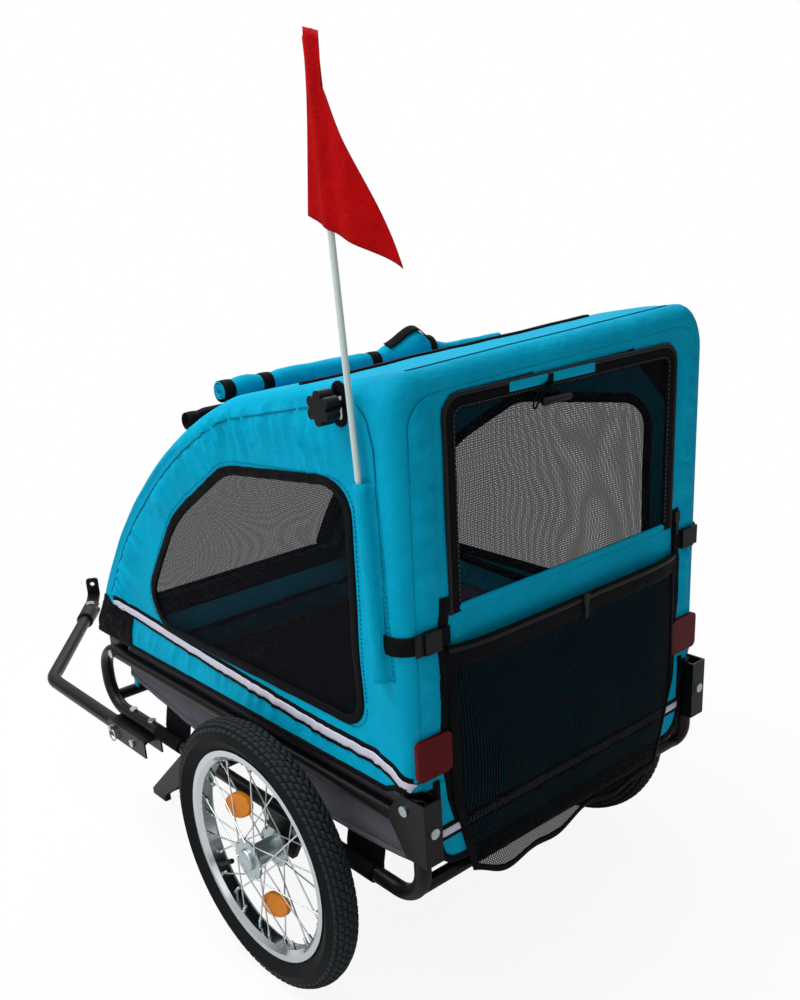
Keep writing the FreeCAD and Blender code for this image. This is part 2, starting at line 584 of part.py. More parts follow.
def front_hoop():
    bend = at.front_hoop_bend
    low, low_turn = bow_point(0, at.bow_radius, at.front_hoop_x)
    high, high_turn = bow_point(1, at.bow_radius, at.front_hoop_x)
    leg_share = 1 - bend / (at.bow_radius * (high_turn - low_turn))
    middle, _ = bow_point(leg_share / 2, at.bow_radius, at.front_hoop_x)
    end, end_turn = bow_point(leg_share, at.bow_radius, at.front_hoop_x)
    along = Vector(0, -math.sin(end_turn), math.cos(end_turn))
    low_along = Vector(0, -math.sin(low_turn), math.cos(low_turn))
    inward = Vector(-1, 0, 0)
    half = math.sqrt(0.5)
    turn_middle = end + along * bend * half + inward * bend * (1 - half)
    turn_end = end + (along + inward) * bend
    right = [Part.LineSegment(low - low_along * at.hoop_foot, low), Part.Arc(low, middle, end),
             Part.Arc(end, turn_middle, turn_end)]

    def twin(p):
        return Vector(-p.x, p.y, p.z)
    left = [Part.Arc(twin(turn_end), twin(turn_middle), twin(end)),
            Part.Arc(twin(end), twin(middle), twin(low)),
            Part.LineSegment(twin(low), twin(low - low_along * at.hoop_foot))]
    runs = [*right, Part.LineSegment(turn_end, twin(turn_end)), *left]
    tube = swept(Part.Wire([run.toShape() for run in runs]), at.front_hoop_radius)
    return tube.cut(drill_x(at.pin_radius + at.running_gap, at.front_pivot_y, at.front_pivot_z))


node(made(rear_hoop(), "rear_hoop"), "rear_hoop")
node(made(front_hoop(), "front_hoop"), "front_hoop")


def headed(start, along, length):
    """A pin with a flat round head, the head outside its start."""
    head = rod(at.pin_head_radius, start - along * at.pin_head, start)
    return head.fuse(rod(at.pin_radius, start, start + along * length))


def hinge_pins():
    """Fold pins, bracket bolts and screws, and the tow bar's pivot bolt."""
    pins = []
    inward = Vector(-1, 0, 0)
    rear_half = at.tube_radius + at.bracket_gap + at.bracket_wall
    front_half = at.front_hoop_radius + at.bracket_gap + at.bracket_wall
    for side in (1, -1):
        def place(x, y, z):
            return Vector(side * x, y, z)
        pins.append(headed(place(at.frame_x + rear_half, -at.rear_pivot_y, at.rear_pivot_z),
                           inward * side, 2 * rear_half))
        pins.append(headed(place(at.front_hoop_x + front_half, at.front_pivot_y, at.front_pivot_z),
                           inward * side, 2 * front_half))
        pins.append(headed(place(at.rail_outer, at.front_pivot_y - at.screw_inset, at.upper_rail_z),
                           inward * side, 2 * at.tube_radius + at.bracket_wall))
        pins.append(headed(place(at.frame_x, -at.rear_bracket_back - at.bracket_wall, at.screw_z),
                           Vector(0, 1, 0), at.screw_reach))
        for y in (-at.axle_bolt_y, at.axle_bolt_y):
            pins.append(headed(place(at.rail_outer + at.axle_plate, y, at.lower_rail_z),
                               inward * side, at.axle_plate + at.tube_radius))
    tow_half = at.tow_radius + at.tow_channel_gap + at.tow_channel_wall
    pins.append(headed(Vector(-at.tow_x - tow_half, at.tow_pivot_y, at.tow_z), Vector(1, 0, 0), 2 * tow_half))
    for y in (at.tow_pivot_y - at.tow_bolt_inset, at.tow_pivot_y + at.tow_bolt_reach):
        pins.append(headed(Vector(-at.frame_x, y, at.lower_rail_z + at.tube_radius), Vector(0, 0, -1),
                           2 * at.tube_radius + at.tow_channel_wall))
    return Part.makeCompound(pins)


node(made(hinge_pins(), "hinge_pins"), "hinge_pins")

# Handle clamps inside the rear hoop, and the star knobs that tighten them.
clamp_x = "frame_x - rear_hoop_radius - clamp_plate"
clamp, clamp_pad = padded("clamp_right", "YZ_Plane", [
    ("-clamp_back_y", "clamp_foot"), ("-clamp_back_y + clamp_strap", "clamp_foot"),
    ("-clamp_front", "knob_z - clamp_nose"), ("-clamp_front", "knob_z + clamp_nose"),
    ("-knob_y - clamp_nose", "knob_z + clamp_nose"), ("-clamp_back_y", "clamp_foot + clamp_strap")],
    "clamp_plate", clamp_x)
boss = clamp.newObject("PartDesign::Pad", "clamp_boss")
boss.Profile = sketched(clamp, "YZ_Plane", circle_outline("-knob_y", "knob_z", "knob_boss_radius"), clamp_x)
bind(boss, Length="clamp_boss")
pocketed(clamp, "YZ_Plane", circle_outline("-knob_y", "knob_z", "knob_stud_radius + running_gap"))
grouped([clamp, mirrored(clamp, "clamp_left")], "handle_clamps")

knob, stud = padded("knob_right", "YZ_Plane", circle_outline("-knob_y", "knob_z", "knob_stud_radius"),
                    "cabin_half_width - frame_x + rear_hoop_radius + clamp_plate + knob_neck", clamp_x)
neck = knob.newObject("PartDesign::Pad", "knob_neck")
neck.Profile = sketched(knob, "YZ_Plane", circle_outline("-knob_y", "knob_z", "knob_boss_radius"),
                        "cabin_half_width + cloth_gap")
bind(neck, Length="knob_neck - cloth_gap")
head = knob.newObject("PartDesign::Pad", "knob_head")
head.Profile = sketched(knob, "YZ_Plane", circle_outline("-knob_y", "knob_z", "knob_radius - knob_lobe_radius"),
                        "cabin_half_width + knob_neck")
bind(head, Length="knob_thickness")
lobe = knob.newObject("PartDesign::Pad", "knob_lobe")
lobe.Profile = sketched(knob, "YZ_Plane", circle_outline(
    "-knob_y", "knob_z + knob_radius - knob_lobe_radius", "knob_lobe_radius"), "cabin_half_width + knob_neck")
bind(lobe, Length="knob_thickness")
lobe_axis = knob.newObject("Sketcher::SketchObject", "knob_axis")
lobe_axis.AttachmentSupport = ([f for f in knob.Origin.OriginFeatures if f.Role == "YZ_Plane"][0], [""])
lobe_axis.MapMode = "FlatFace"
bind(lobe_axis, AttachmentOffset__Base__x="-knob_y", AttachmentOffset__Base__y="knob_z")
lobes = knob.newObject("PartDesign::PolarPattern", "knob_lobes")
lobes.Originals = [lobe]
lobes.Axis = (lobe_axis, ["N_Axis"])
lobes.Angle = 360
bind(lobes, Occurrences="knob_lobes")
knob.Tip = lobes
node(knob, "knob_right")
node(mirrored(knob, "knob_left"), "knob_left")

# Cloth cabin: side panels with mesh windows.

def window_outline(margin):
    return [(f"-window_back - {margin}", f"window_foot - {margin}"),
            (f"window_nose - window_bend + {margin}", f"window_foot - {margin}"),
            (f"window_nose + {margin}", f"window_nose_z + {margin}"),
            (f"window_head_front + {margin}", f"window_head_nose + {margin}"),
            (f"-window_back - {margin}", f"window_head + {margin}")]


def in_window(edge):
    centre = edge.BoundBox.Center
    return (-at.window_back - at.edge_margin < centre.y < at.window_nose + at.edge_margin
            and at.window_foot - at.edge_margin < centre.z < at.window_head + at.edge_margin)


side, side_pad = padded("side_panel_right", "YZ_Plane", [
    ("-cabin_back", "panel_foot"), ("-rear_bracket_front - side_notch", "panel_foot"),
    ("-rear_bracket_front", "side_foot"), ("nose_y", "side_foot", "skin_radius"),
    ("roof_front_y", "roof_front_z"), ("-roof_turn_y", "roof_back_z", "roof_edge_radius"),
    ("-cabin_back", "roof_turn_z")], "cloth", "panel_inner")
window = pocketed(side, "YZ_Plane", window_outline("0"))
rounded(side, window, "window_bend", Vector(1, 0, 0), in_window)
pocketed(side, "YZ_Plane", box_outline("-knob_y", "knob_z", "knob_slot_half_width", "knob_slot_half_height"))
node(side, "side_panel_right")
node(mirrored(side, "side_panel_left"), "side_panel_left")

screen, screen_pad = padded("side_mesh_right", "YZ_Plane", window_outline("window_hem"), "mesh",
                            "panel_inner - mesh")
rounded(screen, screen_pad, "window_bend", Vector(1, 0, 0))
node(screen, "side_mesh_right")
node(mirrored(screen, "side_mesh_left"), "side_mesh_left")

# Roof: one sheet from the top of the back, over the rear hoop, to the front hoop.
roof, roof_pad = padded("roof_panel", "YZ_Plane", [
    ("-cabin_back", "roof_turn_z"), ("-back_inner", "roof_turn_z", "-(roof_edge_radius - cloth)"),
    ("-roof_turn_y", "roof_back_z - cloth"), ("roof_front_y", "roof_front_z - cloth"),
    ("roof_front_y", "roof_front_z"), ("-roof_turn_y", "roof_back_z", "roof_edge_radius")],
    "2 * panel_inner", "-panel_inner")
node(roof, "roof_panel")


def bow_sheet(low_share, high_share, inner, thickness, half_width):
    """A sheet bent round the front hoop's bow, between two shares of its length."""
    outer = inner + thickness
    corners = [bow_point(share, radius, -half_width)[0] for radius in (inner, outer)
               for share in (low_share, (low_share + high_share) / 2, high_share)]
    edges = [Part.Arc(*corners[:3]).toShape(), Part.LineSegment(corners[2], corners[5]).toShape(),
             Part.Arc(corners[5], corners[4], corners[3]).toShape(),
             Part.LineSegment(corners[3], corners[0]).toShape()]
    return Part.Face(Part.Wire(edges)).extrude(Vector(2 * half_width, 0, 0))


front_sheet_shares = (0.05, 0.985)
front_open_shares = (0.16, 0.86)
skin_inner = at.skin_radius - at.cloth
front_half = at.panel_inner - at.cloth_gap
front_opening = bow_sheet(*front_open_shares, skin_inner - at.overrun, at.cloth + 2 * at.overrun,
                          at.front_open_half_width)
front_panel = bow_sheet(*front_sheet_shares, skin_inner, at.cloth, front_half).cut(front_opening)
node(made(front_panel, "front_panel"), "front_panel")
front_mesh = bow_sheet(*front_open_shares, skin_inner, at.mesh, at.front_open_half_width)
node(made(front_mesh, "front_mesh"), "front_mesh")

# The front cover and the rain cover, each rolled up and tied across the front.
roll_share = 0.95
rain_roll_share = 0.80
roll = turned("cover_roll", [
    ("-roll_half_length", "0"), ("roll_half_length", "0"), ("roll_half_length", "roll_radius + roll_flare"),
    ("roll_half_length / 2", "roll_radius"), ("0", "roll_radius - roll_tie"),
    ("-roll_half_length / 2", "roll_radius"),
    ("-roll_half_length", "roll_radius + roll_flare")])
roll_at, _ = bow_point(roll_share, at.skin_radius + at.roll_radius + at.roll_flare + at.cloth_gap)
roll.Placement.Base = Vector(0, roll_at.y + at.axle_shift, roll_at.z)
node(roll, "cover_roll")
rain_roll = turned("rain_roll", [
    ("-roll_half_length", "0"), ("roll_half_length", "0"), ("roll_half_length", "rain_roll_radius"),
    ("0", "rain_roll_radius - roll_tie"), ("-roll_half_length", "rain_roll_radius")])
rain_at, _ = bow_point(rain_roll_share, at.skin_radius + at.rain_roll_radius + at.cloth_gap)
rain_roll.Placement.Base = Vector(0, rain_at.y + at.axle_shift, rain_at.z)
node(rain_roll, "rain_roll")

# Rear: panel round the door, the door with its zip band and mesh, the skirt and the tub round the floor.
back, back_pad = padded("rear_panel", "XZ_Plane", [
    ("-panel_inner + cloth_gap", "panel_foot"), ("panel_inner - cloth_gap", "panel_foot"),
    ("panel_inner - cloth_gap", "roof_turn_z - cloth_gap"),
    ("-panel_inner + cloth_gap", "roof_turn_z - cloth_gap")],
    "cloth", "back_inner")
door_middle = "(door_foot + door_head) / 2"
door_half_height = "(door_head - door_foot) / 2"


def in_door(edge):
    centre = edge.BoundBox.Center
    reach = at.door_gap + at.edge_margin
    return abs(centre.x) < at.door_half_width + reach and centre.z > at.door_foot - reach


doorway = pocketed(back, "XZ_Plane", box_outline("0", door_middle, "(door_half_width + door_gap)",
                                                 f"({door_half_height} + door_gap)"))
rounded(back, doorway, "door_bend", Vector(0, 1, 0), in_door)
node(back, "rear_panel")

band, band_pad = padded("rear_door_frame", "XZ_Plane", box_outline("0", door_middle, "door_half_width",
                                                                  door_half_height), "cloth", "back_inner")
band_round = rounded(band, band_pad, "door_bend - door_gap", Vector(0, 1, 0))
pocketed(band, "XZ_Plane", box_outline("0", door_middle, "(door_half_width - door_band)",
                                       f"({door_half_height} - door_band)"))
node(band, "rear_door_frame")
pane, pane_pad = padded("rear_door_mesh", "XZ_Plane", box_outline(
    "0", door_middle, "(door_half_width - door_band)", f"({door_half_height} - door_band)"), "mesh", "back_inner")
node(pane, "rear_door_mesh")

skirt, skirt_pad = padded("rear_skirt", "XZ_Plane", [
    ("-skirt_half_width + skirt_corner", "skirt_foot"), ("skirt_half_width - skirt_corner", "skirt_foot"),
    ("skirt_half_width", "skirt_foot + skirt_corner"), ("skirt_half_width", "panel_foot - cloth_gap"),
    ("-skirt_half_width", "panel_foot - cloth_gap"), ("-skirt_half_width", "skirt_foot + skirt_corner")],
    "cloth", "back_inner")
node(skirt, "rear_skirt")

tub, tub_pad = padded("lower_sides", "XY_Plane", [
    ("tub_half_width", "-back_inner"), ("tub_half_width", "tub_front"), ("-tub_half_width", "tub_front"),
    ("-tub_half_width", "-back_inner"), ("-tub_half_width + cloth", "-back_inner"),
    ("-tub_half_width + cloth", "tub_front - cloth"), ("tub_half_width - cloth", "tub_front - cloth"),
    ("tub_half_width - cloth", "-back_inner")], "tub_top - floor_z", "floor_z")
node(tub, "lower_sides")

board = doc.addObject("Part::Box", "floor_panel")
bind(board, Length="2 * (tub_half_width - cloth)", Width="back_inner + tub_front - cloth", Height="floor_board")
node(moved(board, x="-tub_half_width + cloth", y="-back_inner", z="floor_z"), "floor_panel")


def round_box(inset, z):
    """A rounded rectangle of the floor pad at one height."""
    half = at.tub_half_width - at.cloth - at.pad_margin - inset
    low, high = -at.back_inner + at.pad_margin + inset, at.tub_front - at.cloth - at.pad_margin - inset
    corners = [Vector(half, low, z), Vector(half, high, z), Vector(-half, high, z), Vector(-half, low, z)]
    return bent(corners, at.pad_bend, closed=True)


pad_levels = [(at.pad_draw, 0), (0, at.pad_thickness / 2), (at.pad_draw, at.pad_thickness),
              (at.pad_crown_inset, at.pad_thickness + at.pad_crown)]
pad_shape = Part.makeLoft([round_box(inset, at.board_top + rise) for inset, rise in pad_levels], True, True)
node(made(pad_shape, "floor_pad"), "floor_pad")


def slings():
    """Cloth bands from the floor's edges that wrap the lower rails."""
    bands = []
    sleeve = at.tube_radius + at.sling_cloth
    for side in (1, -1):
        for middle in (at.sling_front_y, at.sling_rear_y):
            start = Vector(side * at.frame_x, middle - at.sling_length / 2, at.lower_rail_z)
            finish = start + Vector(0, at.sling_length, 0)
            ring = rod(sleeve, start, finish).cut(rod(at.tube_radius, start, finish))
            top = side * (at.tub_half_width - at.cloth)
            low = side * (at.frame_x - sleeve)
            thick = side * at.sling_cloth
            web = [Vector(low, start.y, at.lower_rail_z), Vector(low + thick, start.y, at.lower_rail_z),
                   Vector(top + thick, start.y, at.floor_z), Vector(top, start.y, at.floor_z)]
            face = Part.Face(Part.makePolygon([*web, web[0]]))
            bands.append(ring.fuse(face.extrude(finish - start)))
    return Part.makeCompound(bands)


node(made(slings(), "floor_slings"), "floor_slings")


def pouch(inset, over):
    """The mesh pocket's outside, or its inside when it is inset by the cloth."""
    back_y = -at.cabin_back - at.cloth_gap - inset
    mouth = at.pocket_mouth + 2 * at.pocket_cloth
    levels = [(at.pocket_foot + inset, at.pocket_foot_half_width, mouth),
              (at.pocket_belly_z, at.pocket_half_width - at.pocket_taper, at.pocket_depth),
              (at.pocket_band_z, at.pocket_half_width, mouth), (at.pocket_head + over, at.pocket_half_width, mouth)]
    wires = []
    for z, half_width, depth in levels:
        half = half_width - inset
        front = back_y - depth + 2 * inset
        corners = [Vector(half, back_y, z), Vector(half - at.pocket_taper, front, z),
                   Vector(-half + at.pocket_taper, front, z), Vector(-half, back_y, z)]
        wires.append(Part.makePolygon([*corners, corners[0]]))
    return Part.makeLoft(wires, True, True)


node(made(pouch(0, 0).cut(pouch(at.pocket_cloth, at.overrun)), "rear_pocket"), "rear_pocket")

# Rear reflectors, buckles and zip sliders.
lens, lens_pad = padded("rear_reflector_right", "XZ_Plane", box_outline(
    "reflector_x", "reflector_z", "reflector_width / 2", "reflector_height / 2"),
    "reflector_thickness", "cabin_back")
rounded(lens, lens_pad, "reflector_bend", Vector(0, 1, 0))
grouped([lens, mirrored(lens, "rear_reflector_left")], "rear_reflectors")

socket, socket_pad = padded("buckle_socket_right", "XZ_Plane", box_outline(
    "buckle_x - buckle_length / 2", "buckle_z", "buckle_length / 2", "buckle_height / 2"),
    "buckle_thickness", "cabin_back")
mouth = socket.newObject("PartDesign::Pocket", "buckle_mouth")
mouth.Profile = sketched(socket, "YZ_Plane", box_outline(
    "-cabin_back - buckle_thickness / 2", "buckle_z", "(buckle_thickness / 2 - buckle_wall)",
    "(buckle_height / 2 - buckle_wall)"), "buckle_x")
bind(mouth, Length="tongue_depth + buckle_play")
doc.recompute()
solid_socket = at.buckle_length * at.buckle_height * at.buckle_thickness
if socket.Shape.Volume > solid_socket - at.tongue_depth:
    mouth.Reversed = True
grouped([socket, mirrored(socket, "buckle_socket_left")], "buckle_sockets")

prong_half_height = "(buckle_height / 2 - buckle_wall - buckle_play)"
tongue, tongue_pad = padded("buckle_right_tongue", "XZ_Plane", [
    ("buckle_x - tongue_depth", f"buckle_z - {prong_half_height}"),
    ("buckle_x + buckle_play", f"buckle_z - {prong_half_height}"),
    ("buckle_x + buckle_play", "buckle_z - buckle_height / 2"),
    ("buckle_x + tongue_bar", "buckle_z - buckle_height / 2"),
    ("buckle_x + tongue_bar", "buckle_z + buckle_height / 2"),
    ("buckle_x + buckle_play", "buckle_z + buckle_height / 2"),
    ("buckle_x + buckle_play", f"buckle_z + {prong_half_height}"),
    ("buckle_x - tongue_depth", f"buckle_z + {prong_half_height}")],
    "buckle_thickness - 2 * (buckle_wall + buckle_play)", "cabin_back + buckle_wall + buckle_play")
pocketed(tongue, "XZ_Plane", box_outline("buckle_x - tongue_depth / 2", "buckle_z", "tongue_depth / 4",
                                         "buckle_height / 5"))
node(tongue, "buckle_right_tongue")
node(mirrored(tongue, "buckle_left_tongue"), "buckle_left_tongue")


def slider(label, x, back, z):
    """A zip slider with its pull tab hanging from it."""
    body, saddle = padded(label, "XZ_Plane", box_outline(x, z, "slider_width / 2", "slider_length / 2"),
                          "slider_thickness", back)
    tab = body.newObject("PartDesign::Pad", label + "_tab")
    tab.Profile = sketched(body, "XZ_Plane", box_outline(x, f"({z} - slider_tab / 2)", "slider_tab_width / 2",
                                                         "slider_tab / 2"),
                           f"{back} + slider_thickness - slider_tab_thickness")
    bind(tab, Length="slider_tab_thickness")
    return node(body, label)


slider("door_zip_slider", "(door_half_width + door_gap + slider_width)", "cabin_back + cloth_gap", "door_slider_z")
slider("pocket_zip_slider", "pocket_slider_x",
       "cabin_back + 2 * cloth_gap + pocket_mouth + 2 * pocket_cloth", "(pocket_head - slider_length / 2)")

# Safety flag on its pole, in a cloth sleeve on the left side.
lean = Vector(0, math.sin(math.radians(at.flag_lean)), math.cos(math.radians(at.flag_lean)))
sleeve_foot = Vector(-at.cabin_half_width - at.flag_sleeve_radius, -at.flag_sleeve_y, at.flag_sleeve_foot)
sleeve_head = sleeve_foot + lean * ((at.flag_sleeve_head - at.flag_sleeve_foot) / lean.z)
pole_foot = sleeve_foot + lean * at.pole_foot
pole_head = pole_foot + lean * at.pole_length
sleeve_bore = rod(at.pole_radius + at.running_gap, pole_foot, pole_head)
node(made(rod(at.flag_sleeve_radius, sleeve_foot, sleeve_head).cut(sleeve_bore), "flag_sleeve"), "flag_sleeve")
node(made(rod(at.pole_radius, pole_foot, pole_head), "flag_pole"), "flag_pole")


def pennant():
    """A drooping pennant: thin sections from the hoist to the point, folded left and right."""
    hoist_top = pole_head + Vector(0, at.flag_head / 5, at.flag_head / 3)
    hoist_foot = pole_head + Vector(0, at.flag_lap, -at.flag_hoist)
    point_foot = pole_head - Vector(0, at.flag_fly, at.flag_hoist + at.flag_droop)
    point_top = point_foot + Vector(0, at.flag_head, at.flag_head)
    fold_shares = ((0, 0), (0.3, 1), (0.65, -1), (1, 0.4))
    wires = []
    for share, side in fold_shares:
        shift = Vector(side * at.flag_fold, 0, 0)
        half = Vector(at.flag_cloth / 2, 0, 0)
        high = hoist_top * (1 - share) + point_top * share + shift
        low = hoist_foot * (1 - share) + point_foot * share + shift
        wires.append(Part.makePolygon([high + half, high - half, low - half, low + half, high + half]))
    return Part.makeLoft(wires, True, True)


node(made(pennant(), "flag"), "flag")

# Tow bar: a channel under the left lower rail, the bar with its bend, and the hitch at its end.
tow_half = "(tow_radius + tow_channel_gap)"
channel_body, channel_pad = padded("tow_channel", "XZ_Plane", [
    (f"-tow_x - {tow_half} - tow_channel_wall", "tow_z - tow_channel_drop"),
    (f"-tow_x - {tow_half}", "tow_z - tow_channel_drop"),
    (f"-tow_x - {tow_half}", "tow_z + tow_radius + tow_channel_gap"),
    (f"-tow_x + {tow_half}", "tow_z + tow_radius + tow_channel_gap"),
    (f"-tow_x + {tow_half}", "tow_z - tow_channel_drop"),
    (f"-tow_x + {tow_half} + tow_channel_wall", "tow_z - tow_channel_drop"),
    (f"-tow_x + {tow_half} + tow_channel_wall", "tow_z + tow_radius + tow_channel_gap + tow_channel_wall"),
    (f"-tow_x - {tow_half} - tow_channel_wall", "tow_z + tow_radius + tow_channel_gap + tow_channel_wall")],
    "tow_channel_front + tow_channel_back", "-tow_pivot_y - tow_channel_front")
tow_reach = (f"-tow_x - {tow_half} - 2 * tow_channel_wall", f"2 * {tow_half} + 4 * tow_channel_wall")
channel_bored = drilled(channel_body, "tow_channel_bored", "pin_radius", *tow_reach, "tow_pivot_y", "tow_z")
node(drilled(channel_bored, "tow_bracket", "lock_radius + running_gap", *tow_reach, "(tow_pivot_y + lock_y)",
             "tow_z + lock_rise"), "tow_bracket")

tow_turn = math.radians(at.tow_turn)
tow_along = Vector(math.sin(tow_turn), math.cos(tow_turn), 0)
tow_corner = Vector(-at.tow_x, at.tow_bend_y, at.tow_z)
tow_end = tow_corner + tow_along * at.tow_far_run


def tow_bar():
    pivot = Vector(-at.tow_x, at.tow_pivot_y, at.tow_z)
    bar = swept(bent([pivot, tow_corner, tow_end], at.tow_bend), at.tow_radius)
    bar = bar.fuse(Part.makeSphere(at.tow_radius, pivot))
    reach = Vector(2 * at.tow_radius, 0, 0)
    bar = bar.cut(rod(at.pin_radius + at.running_gap, pivot - reach, pivot + reach))
    notch = pivot + Vector(0, at.lock_y, at.lock_rise)
    half = Vector(2 * at.tow_radius, at.lock_slot, at.lock_slot)
    return bar.cut(block(notch - half, notch + half + Vector(0, 0, at.tow_radius)))


node(made(tow_bar(), "tow_bar"), "tow_bar")


def set_at(shape, turn, place):
    """Turn a shape about Z and move it, in its own geometry."""
    placement = FreeCAD.Placement(place, FreeCAD.Rotation(Vector(0, 0, 1), turn))
    return shape.transformed(placement.toMatrix(), True)


def on_bar(shape, place):
    """Move a shape drawn along +Y from the origin onto the far run of the bar."""
    return set_at(shape, -at.tow_turn, tow_end + tow_along * place)


nose = at.coupler_length - at.coupler_grip
bolt_place = nose + at.fork_length / 2


def coupler():
    collar = rod(at.coupler_radius, Vector(0, -at.coupler_grip, 0), Vector(0, nose, 0))
    collar = collar.cut(rod(at.tow_radius, Vector(0, -at.coupler_grip - at.overrun, 0), Vector(0, 0, 0)))
    fork = block(Vector(-at.fork_half_width, nose / 2, -at.fork_thickness / 2),
                 Vector(at.fork_half_width, nose + at.fork_length, at.fork_thickness / 2))
    slot = block(Vector(-at.coupler_radius, nose, -at.fork_slot / 2),
                 Vector(at.coupler_radius, nose + at.fork_length + at.overrun, at.fork_slot / 2))
    bolt = rod(at.hitch_bolt_radius, Vector(0, bolt_place, -at.coupler_radius),
               Vector(0, bolt_place, at.coupler_radius))
    return on_bar(collar.fuse(fork).cut(slot).cut(bolt), 0)


node(made(coupler(), "tow_coupler"), "tow_coupler")

bolt_at = tow_end + tow_along * bolt_place
up = Vector(0, 0, 1)
bolt_top = bolt_at + up * (at.fork_thickness / 2)
bolt_foot = bolt_at - up * (at.fork_thickness / 2 + at.hitch_bolt_head)
hitch_bolt = rod(at.hitch_bolt_radius, bolt_foot, bolt_top)
hitch_bolt = hitch_bolt.fuse(rod(at.hitch_bolt_head_radius, bolt_top, bolt_top + up * at.hitch_bolt_head))
node(made(hitch_bolt, "hitch_bolt"), "hitch_bolt")


def hitch():
    """A strap with one round end on the bolt and the other end turned up, with the eye in it."""
    half, thick = at.hitch_half_width, at.hitch_plate / 2
    strap = block(Vector(-half, 0, -thick), Vector(half, at.hitch_reach, thick))
    strap = strap.fuse(rod(half, Vector(0, 0, -thick), Vector(0, 0, thick)))
    turned_up = block(Vector(-half, at.hitch_reach - at.hitch_plate, -thick),
                      Vector(half, at.hitch_reach, at.hitch_rise))
    eye_z = at.hitch_rise - half
    eye = rod(at.hitch_eye_radius, Vector(0, at.hitch_reach - 2 * at.hitch_plate, eye_z),
              Vector(0, at.hitch_reach + at.hitch_plate, eye_z))
    hole = rod(at.hitch_bolt_radius + at.running_gap, Vector(0, 0, -at.hitch_plate), Vector(0, 0, at.hitch_plate))
    shape = strap.fuse(turned_up).removeSplitter()
    corners = [e for e in shape.Edges if e.Length < at.hitch_plate + at.running_gap
               and e.BoundBox.ZMin > at.hitch_rise - at.hitch_plate]
    shape = shape.makeFillet(half / 2, corners).cut(eye).cut(hole)
    return set_at(shape, -at.hitch_turn, bolt_at)


node(made(hitch(), "hitch_plate"), "hitch_plate")


def lock_pin():
    """A quick pin through the channel with a pull ring on its outer end."""
    half = at.tow_radius + at.tow_channel_gap + at.tow_channel_wall
    middle = Vector(-at.tow_x, at.tow_pivot_y + at.lock_y, at.tow_z + at.lock_rise)
    outer = middle - Vector(half + at.cloth_gap, 0, 0)
    inner = middle + Vector(half + at.lock_radius, 0, 0)
    grip = rod(at.lock_grip_radius, outer - Vector(at.lock_grip, 0, 0), outer)
    ring_at = outer - Vector(at.lock_grip / 2, 0, at.lock_ring_radius + at.lock_grip_radius - at.lock_ring_wire)
    ring = Part.makeTorus(at.lock_ring_radius, at.lock_ring_wire, ring_at, Vector(1, 0, 0))
    return rod(at.lock_radius, outer, inner).fuse(grip).fuse(ring)


node(made(lock_pin(), "tow_lock_pin"), "tow_lock_pin")

# Parking stand: two arms that turn on a cross tube, joined by a bar above the feet.
arm, arm_pad = padded("stand_arm", "YZ_Plane", [
    ("stand_y", "stand_hub_z + stand_hub_radius", "stand_hub_radius"),
    ("stand_y - stand_hub_radius", "stand_hub_z", "stand_hub_radius"),
    ("stand_y", "stand_hub_z - stand_hub_radius"), ("stand_foot_y - stand_foot_length / 2", "stand_toe"),
    ("stand_foot_y - stand_foot_length / 2", "0"), ("stand_foot_y + stand_foot_length / 2", "0"),
    ("stand_foot_y + stand_foot_length / 2", "stand_toe"),
    ("stand_y + stand_knee_y", "stand_hub_z - stand_knee_drop")],
    "stand_arm", "stand_x - stand_arm / 2")
pocketed(arm, "YZ_Plane", circle_outline("stand_y", "stand_hub_z", "cross_tube_radius + running_gap"))
stand_bar = doc.addObject("Part::Cylinder", "stand_bar")
bind(stand_bar, Radius="stand_bar_radius", Height="2 * stand_x")
stand_bar.Placement.Rotation = FreeCAD.Rotation(Vector(0, 1, 0), 90)
moved(stand_bar, x="-stand_x", y="stand_foot_y - stand_foot_length / 4", z="stand_bar_z")
stand = doc.addObject("Part::MultiFuse", "parking_stand")
stand.Shapes = [arm, mirrored(arm, "stand_arm_left"), stand_bar]
node(stand, "parking_stand")

doc.recompute()
faults = [thing.Name for thing in doc.Objects if {"Invalid", "Error"} & set(thing.State)]
for label, thing in nodes.items():
    if thing.Shape.isNull() or not thing.Shape.isValid() or not thing.Shape.Solids:
        faults.append(label)
if faults:
    raise RuntimeError("not built: " + ", ".join(faults))

os.makedirs("parts", exist_ok=True)
for label, thing in nodes.items():
    thing.Shape.exportStep(f"parts/{label}.step")
print(len(nodes), "sub-parts,", round(at.axle_shift, 3), "mm from the origin to the axle")
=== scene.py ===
import bmesh
import bpy
import json
import math
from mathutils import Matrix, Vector, noise


